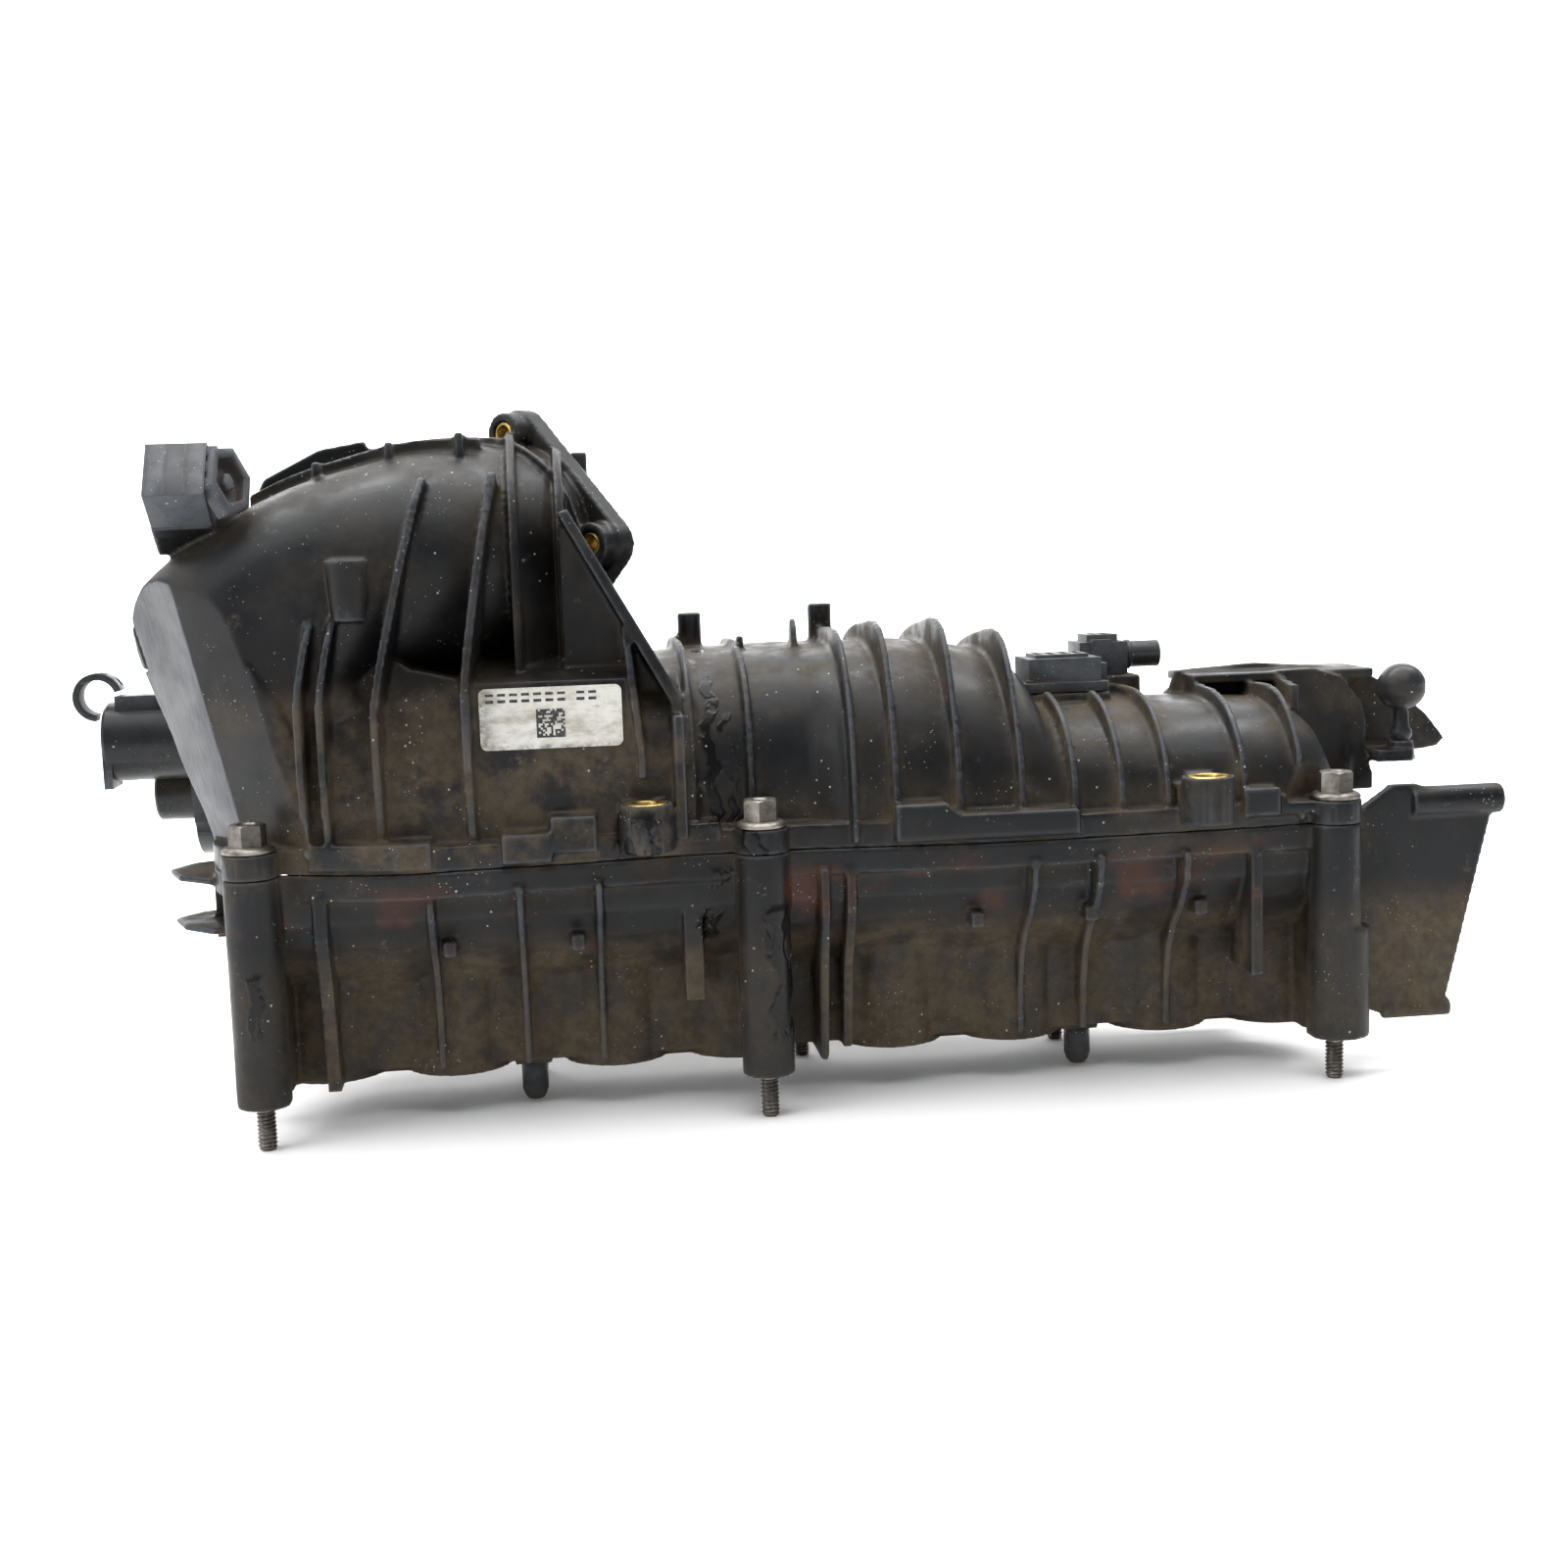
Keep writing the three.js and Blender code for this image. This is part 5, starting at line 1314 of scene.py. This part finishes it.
def bar(x0, x1, start, end, width_start, width_end):
    """A flat tapered bar between two points in the YZ plane."""
    a, b = Vector(start), Vector(end)
    side = Vector((-(b - a).y, (b - a).x)).normalized()
    corners = [a + side * width_start, b + side * width_end, b - side * width_end, a - side * width_start]
    return prism("x", [tuple(c) for c in corners], x0, x1)


def lever(axis, pin, hole_r):
    x0, x1 = LEVER_X
    plate = combine([rod("x", 6, x0, x1, *axis), rod("x", 4.4, x0, x1, *pin), bar(x0, x1, axis, pin, 4.4, 3.4)],
                    [rod("x", hole_r, x0 - 1, x1 + 1, *axis)])
    stub = turned("x", [(2.4, x1 - 1), (2.4, ROD_X[1] + 0.1), (2.2, ROD_X[1] + 0.4)], *pin)
    return crisp(combine([plate, stub]), 0.3)


def link_rod():
    x0, x1 = ROD_X
    eyes = [rod("x", 4.8, x0, x1, *pin) for pin in (SHAFT_PIN, OUTPUT_PIN)]
    middle = bar(x0, x1, SHAFT_PIN, OUTPUT_PIN, 2.2, 2.2)
    holes = [rod("x", 2.7, x0 - 1, x1 + 1, *pin) for pin in (SHAFT_PIN, OUTPUT_PIN)]
    return crisp(combine([combine(eyes + [middle])], holes), 0.4)


def swirl_flap(x):
    disc = turned("y", [(10.9, SHAFT_Y - 1.1), (11.5, SHAFT_Y - 0.6), (11.5, SHAFT_Y + 0.6), (10.9, SHAFT_Y + 1.1)],
                  x, SHAFT_Z, 64)
    hub = rod("x", 4.4, x - 9, x + 9, SHAFT_Y, SHAFT_Z)
    return crisp(combine([combine([disc, hub])], [rod("x", 3.05, x - 20, x + 20, SHAFT_Y, SHAFT_Z)]), 0.25)


shaft = [(2.3, SHAFT_LEFT_X), (SHAFT_R, SHAFT_LEFT_X + 0.6), (SHAFT_R, SHAFT_RIGHT_X - 0.5), (2.4, SHAFT_RIGHT_X)]
keep(smooth(turned("x", shaft, *SHAFT_AXIS), 30), "swirl_shaft", "round", STEEL, body="flaps")
for i, x in enumerate(CYLINDERS, 1):
    keep(swirl_flap(x - PORT_OFFSET), "swirl_flap", "round", ACETAL, i, "flaps")
keep(lever(SHAFT_AXIS, SHAFT_PIN, 3.1), "shaft_lever", "detailed", DARK, body="flaps")
keep(lever(OUTPUT_AXIS, OUTPUT_PIN, 3.05), "output_lever", "detailed", STEEL, body="output")
keep(link_rod(), "link_rod", "detailed", DARK, body="link")


# ---- Actuator ----
CASE_LEFT_X, CASE_RIGHT_X, COVER_RIGHT_X = -204, -189.6, -187
CASE_WALL = 2.4
BARREL_LEFT_X = -232.5
CASE_CIRCLES = [(OUTPUT_AXIS, 19), (IDLER_AXIS, 17.6), (MOTOR_AXIS, 12.5)]
CASE_CENTRE = (68, 94)
SCREW_ARM = 19


def case_outline(extra, steps=120):
    points = []
    for step in range(steps):
        angle = 2 * math.pi * step / steps
        way = (math.cos(angle), math.sin(angle))
        (y, z), radius = max(CASE_CIRCLES, key=lambda c: c[0][0] * way[0] + c[0][1] * way[1] + c[1])
        points.append((y + (radius + extra) * way[0], z + (radius + extra) * way[1]))
    return points


def actuator_housing():
    parts = [prism("x", case_outline(CASE_WALL), CASE_LEFT_X, CASE_RIGHT_X)]
    parts.append(turned("x", [(12.3, BARREL_LEFT_X), (13.5, BARREL_LEFT_X + 1.2), (13.5, CASE_LEFT_X + 1)],
                        *MOTOR_AXIS, 72))
    parts.append(turned("x", [(8, -219), (9, -218), (9, CASE_LEFT_X + 1)], *OUTPUT_AXIS, 48))
    parts += [box(-228, -206, 50, 62, 112, 120), box(BARREL_LEFT_X, BARREL_LEFT_X + 3, 46, 62, 89, 106)]
    for y, z in SCREW_PLACES:
        parts.append(rod("x", 5, -193, -187.4, y, z))
        inward = (Vector(CASE_CENTRE) - Vector((y, z))).normalized() * SCREW_ARM
        parts.append(bar(-193, -188.6, (y, z), (y + inward.x, z + inward.y), 4, 4))
    tips = rods(5, -193, -180, SCREW_PLACES, axis="x")
    cover_side = combine([prism("x", case_outline(8), CASE_RIGHT_X, -180)], tips)
    tools = [cover_side, prism("x", case_outline(0), CASE_LEFT_X + CASE_WALL, CASE_RIGHT_X + 1)]
    tools.append(rod("x", 11.1, BARREL_LEFT_X + CASE_WALL, CASE_LEFT_X + 4, *MOTOR_AXIS, 48))
    tools.append(rod("x", 3.3, -214, CASE_LEFT_X + 4, *OUTPUT_AXIS))
    tools.append(rod("x", 1.8, CASE_LEFT_X + 0.8, CASE_LEFT_X + 4, *IDLER_AXIS))
    tools += rods(2.3, -200, -187, SCREW_PLACES, 24, "x") + rods(4.5, -206, -193, SCREW_PLACES, 32, "x")
    return crisp(combine([combine(parts)], tools), 0.5)


def actuator_cover():
    plate = prism("x", case_outline(CASE_WALL), CASE_RIGHT_X + GAP, COVER_RIGHT_X)
    tools = rods(5.4, -195, -180, SCREW_PLACES, axis="x")
    tools += [rod("x", 3.3, -195, -180, *OUTPUT_AXIS), rod("x", 1.8, -195, -188.2, *IDLER_AXIS)]
    return crisp(combine([plate], tools), 0.3)


def actuator_screw(y, z):
    head = turned("x", [(3.2, -196), (4, -195.2), (4, -193.3)], y, z, 40)
    shank = rod("x", 1.7, -194, -178, y, z, 24)
    socket = prism("x", circle(y, z, 1.9, 6), -197, -194.4)
    return smooth(combine([combine([head, shank])], [socket]), 40)


keep(actuator_housing(), "actuator_housing", "detailed", DARK)
keep(actuator_cover(), "actuator_cover", "detailed", DARK)
for i, (y, z) in enumerate(SCREW_PLACES, 1):
    keep(actuator_screw(y, z), "actuator_screw", "detailed", ZINC, i)

# CAD nodes that stay as they are, with their materials.
KEPT_NODES = {
    "shaft_bush_left": ACETAL,
    "shaft_bush_right": ACETAL,
    "motor_can": STEEL,
    "motor_pinion": BRASS,
    "idler_pin": STEEL,
    "idler_gear": ACETAL,
    "output_gear": ACETAL,
}
for node, look in KEPT_NODES.items():
    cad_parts[node].data.materials.clear()
    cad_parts[node].data.materials.append(look[1])


# ---- Floor, light and camera ----
def floor_material():
    g = Graph("studio_floor")
    tone = g.mix(g.ramp(g.noise(1.2, 2), 0.3, 0.7), (0.93, 0.93, 0.93), (0.95, 0.95, 0.95))
    return g.finish(tone, 0.8, specular=0.2)


FLOOR_REACH = 6000
SWEEP_Y, SWEEP_R = 2200, 900
WALL_TOP_Z = 5000


def studio():
    """A pale floor that sweeps up into a wall behind the part."""
    drop = [(-FLOOR_REACH, BOLT_TIP_Z)]
    drop += arc(SWEEP_Y, BOLT_TIP_Z + SWEEP_R, SWEEP_R, -90, 0, 9)
    drop.append((SWEEP_Y + SWEEP_R, WALL_TOP_Z))
    verts = [(x, y, z) for x in (-FLOOR_REACH, FLOOR_REACH) for y, z in drop]
    count = len(drop)
    faces = [[i, i + 1, count + i + 1, count + i] for i in range(count - 1)]
    floor = make("studio_floor", verts, faces)
    floor.data.materials.append(floor_material())
    floor.data.shade_smooth()


def lamp(name, place, target, size, power_w, colour=(1, 1, 1)):
    light = bpy.data.lights.new(name, "AREA")
    light.shape = "RECTANGLE"
    light.size, light.size_y = size
    light.energy = power_w
    light.color = colour
    obj = bpy.data.objects.new(name, light)
    obj.location = Vector(place) * MM
    obj.rotation_euler = (Vector(target) - Vector(place)).to_track_quat("-Z", "Y").to_euler()
    scene.collection.objects.link(obj)


CAMERA_PLACE = (-83.94, -637.39, 169.08)
CAMERA_YAW, CAMERA_PITCH, CAMERA_ROLL = 6.88, 7.38, -1.857
CAMERA_LENS = 45.26


def camera():
    yaw, pitch, roll = (math.radians(a) for a in (CAMERA_YAW, CAMERA_PITCH, CAMERA_ROLL))
    forward = Vector((math.sin(yaw) * math.cos(pitch), math.cos(yaw) * math.cos(pitch), -math.sin(pitch)))
    right = Vector((math.cos(yaw), -math.sin(yaw), 0))
    up = right.cross(forward)
    across = right * math.cos(roll) + up * math.sin(roll)
    above = -right * math.sin(roll) + up * math.cos(roll)
    turn_by = Matrix((across, above, -forward)).transposed()
    data = bpy.data.cameras.new("camera")
    data.lens = CAMERA_LENS
    data.sensor_width = 36
    data.clip_start, data.clip_end = 0.01, 50
    obj = bpy.data.objects.new("camera", data)
    obj.matrix_world = Matrix.Translation(Vector(CAMERA_PLACE) * MM) @ turn_by.to_4x4()
    scene.collection.objects.link(obj)
    scene.camera = obj


studio()
lamp("top_light", (-100, -350, 1500), (0, 0, 50), (1.8, 1.2), 27)
lamp("left_light", (-1500, -500, 750), (-60, 0, 90), (1.0, 1.2), 12)
lamp("wall_light", (0, 900, 2600), (0, 3000, 500), (5.0, 1.5), 330)
camera()
world = bpy.data.worlds.new("studio_world")
world.use_nodes = True
world.node_tree.nodes["Background"].inputs[0].default_value = (0.93, 0.96, 1.0, 1)
world.node_tree.nodes["Background"].inputs[1].default_value = 0.27
scene.world = world
scene.view_settings.view_transform = "Standard"
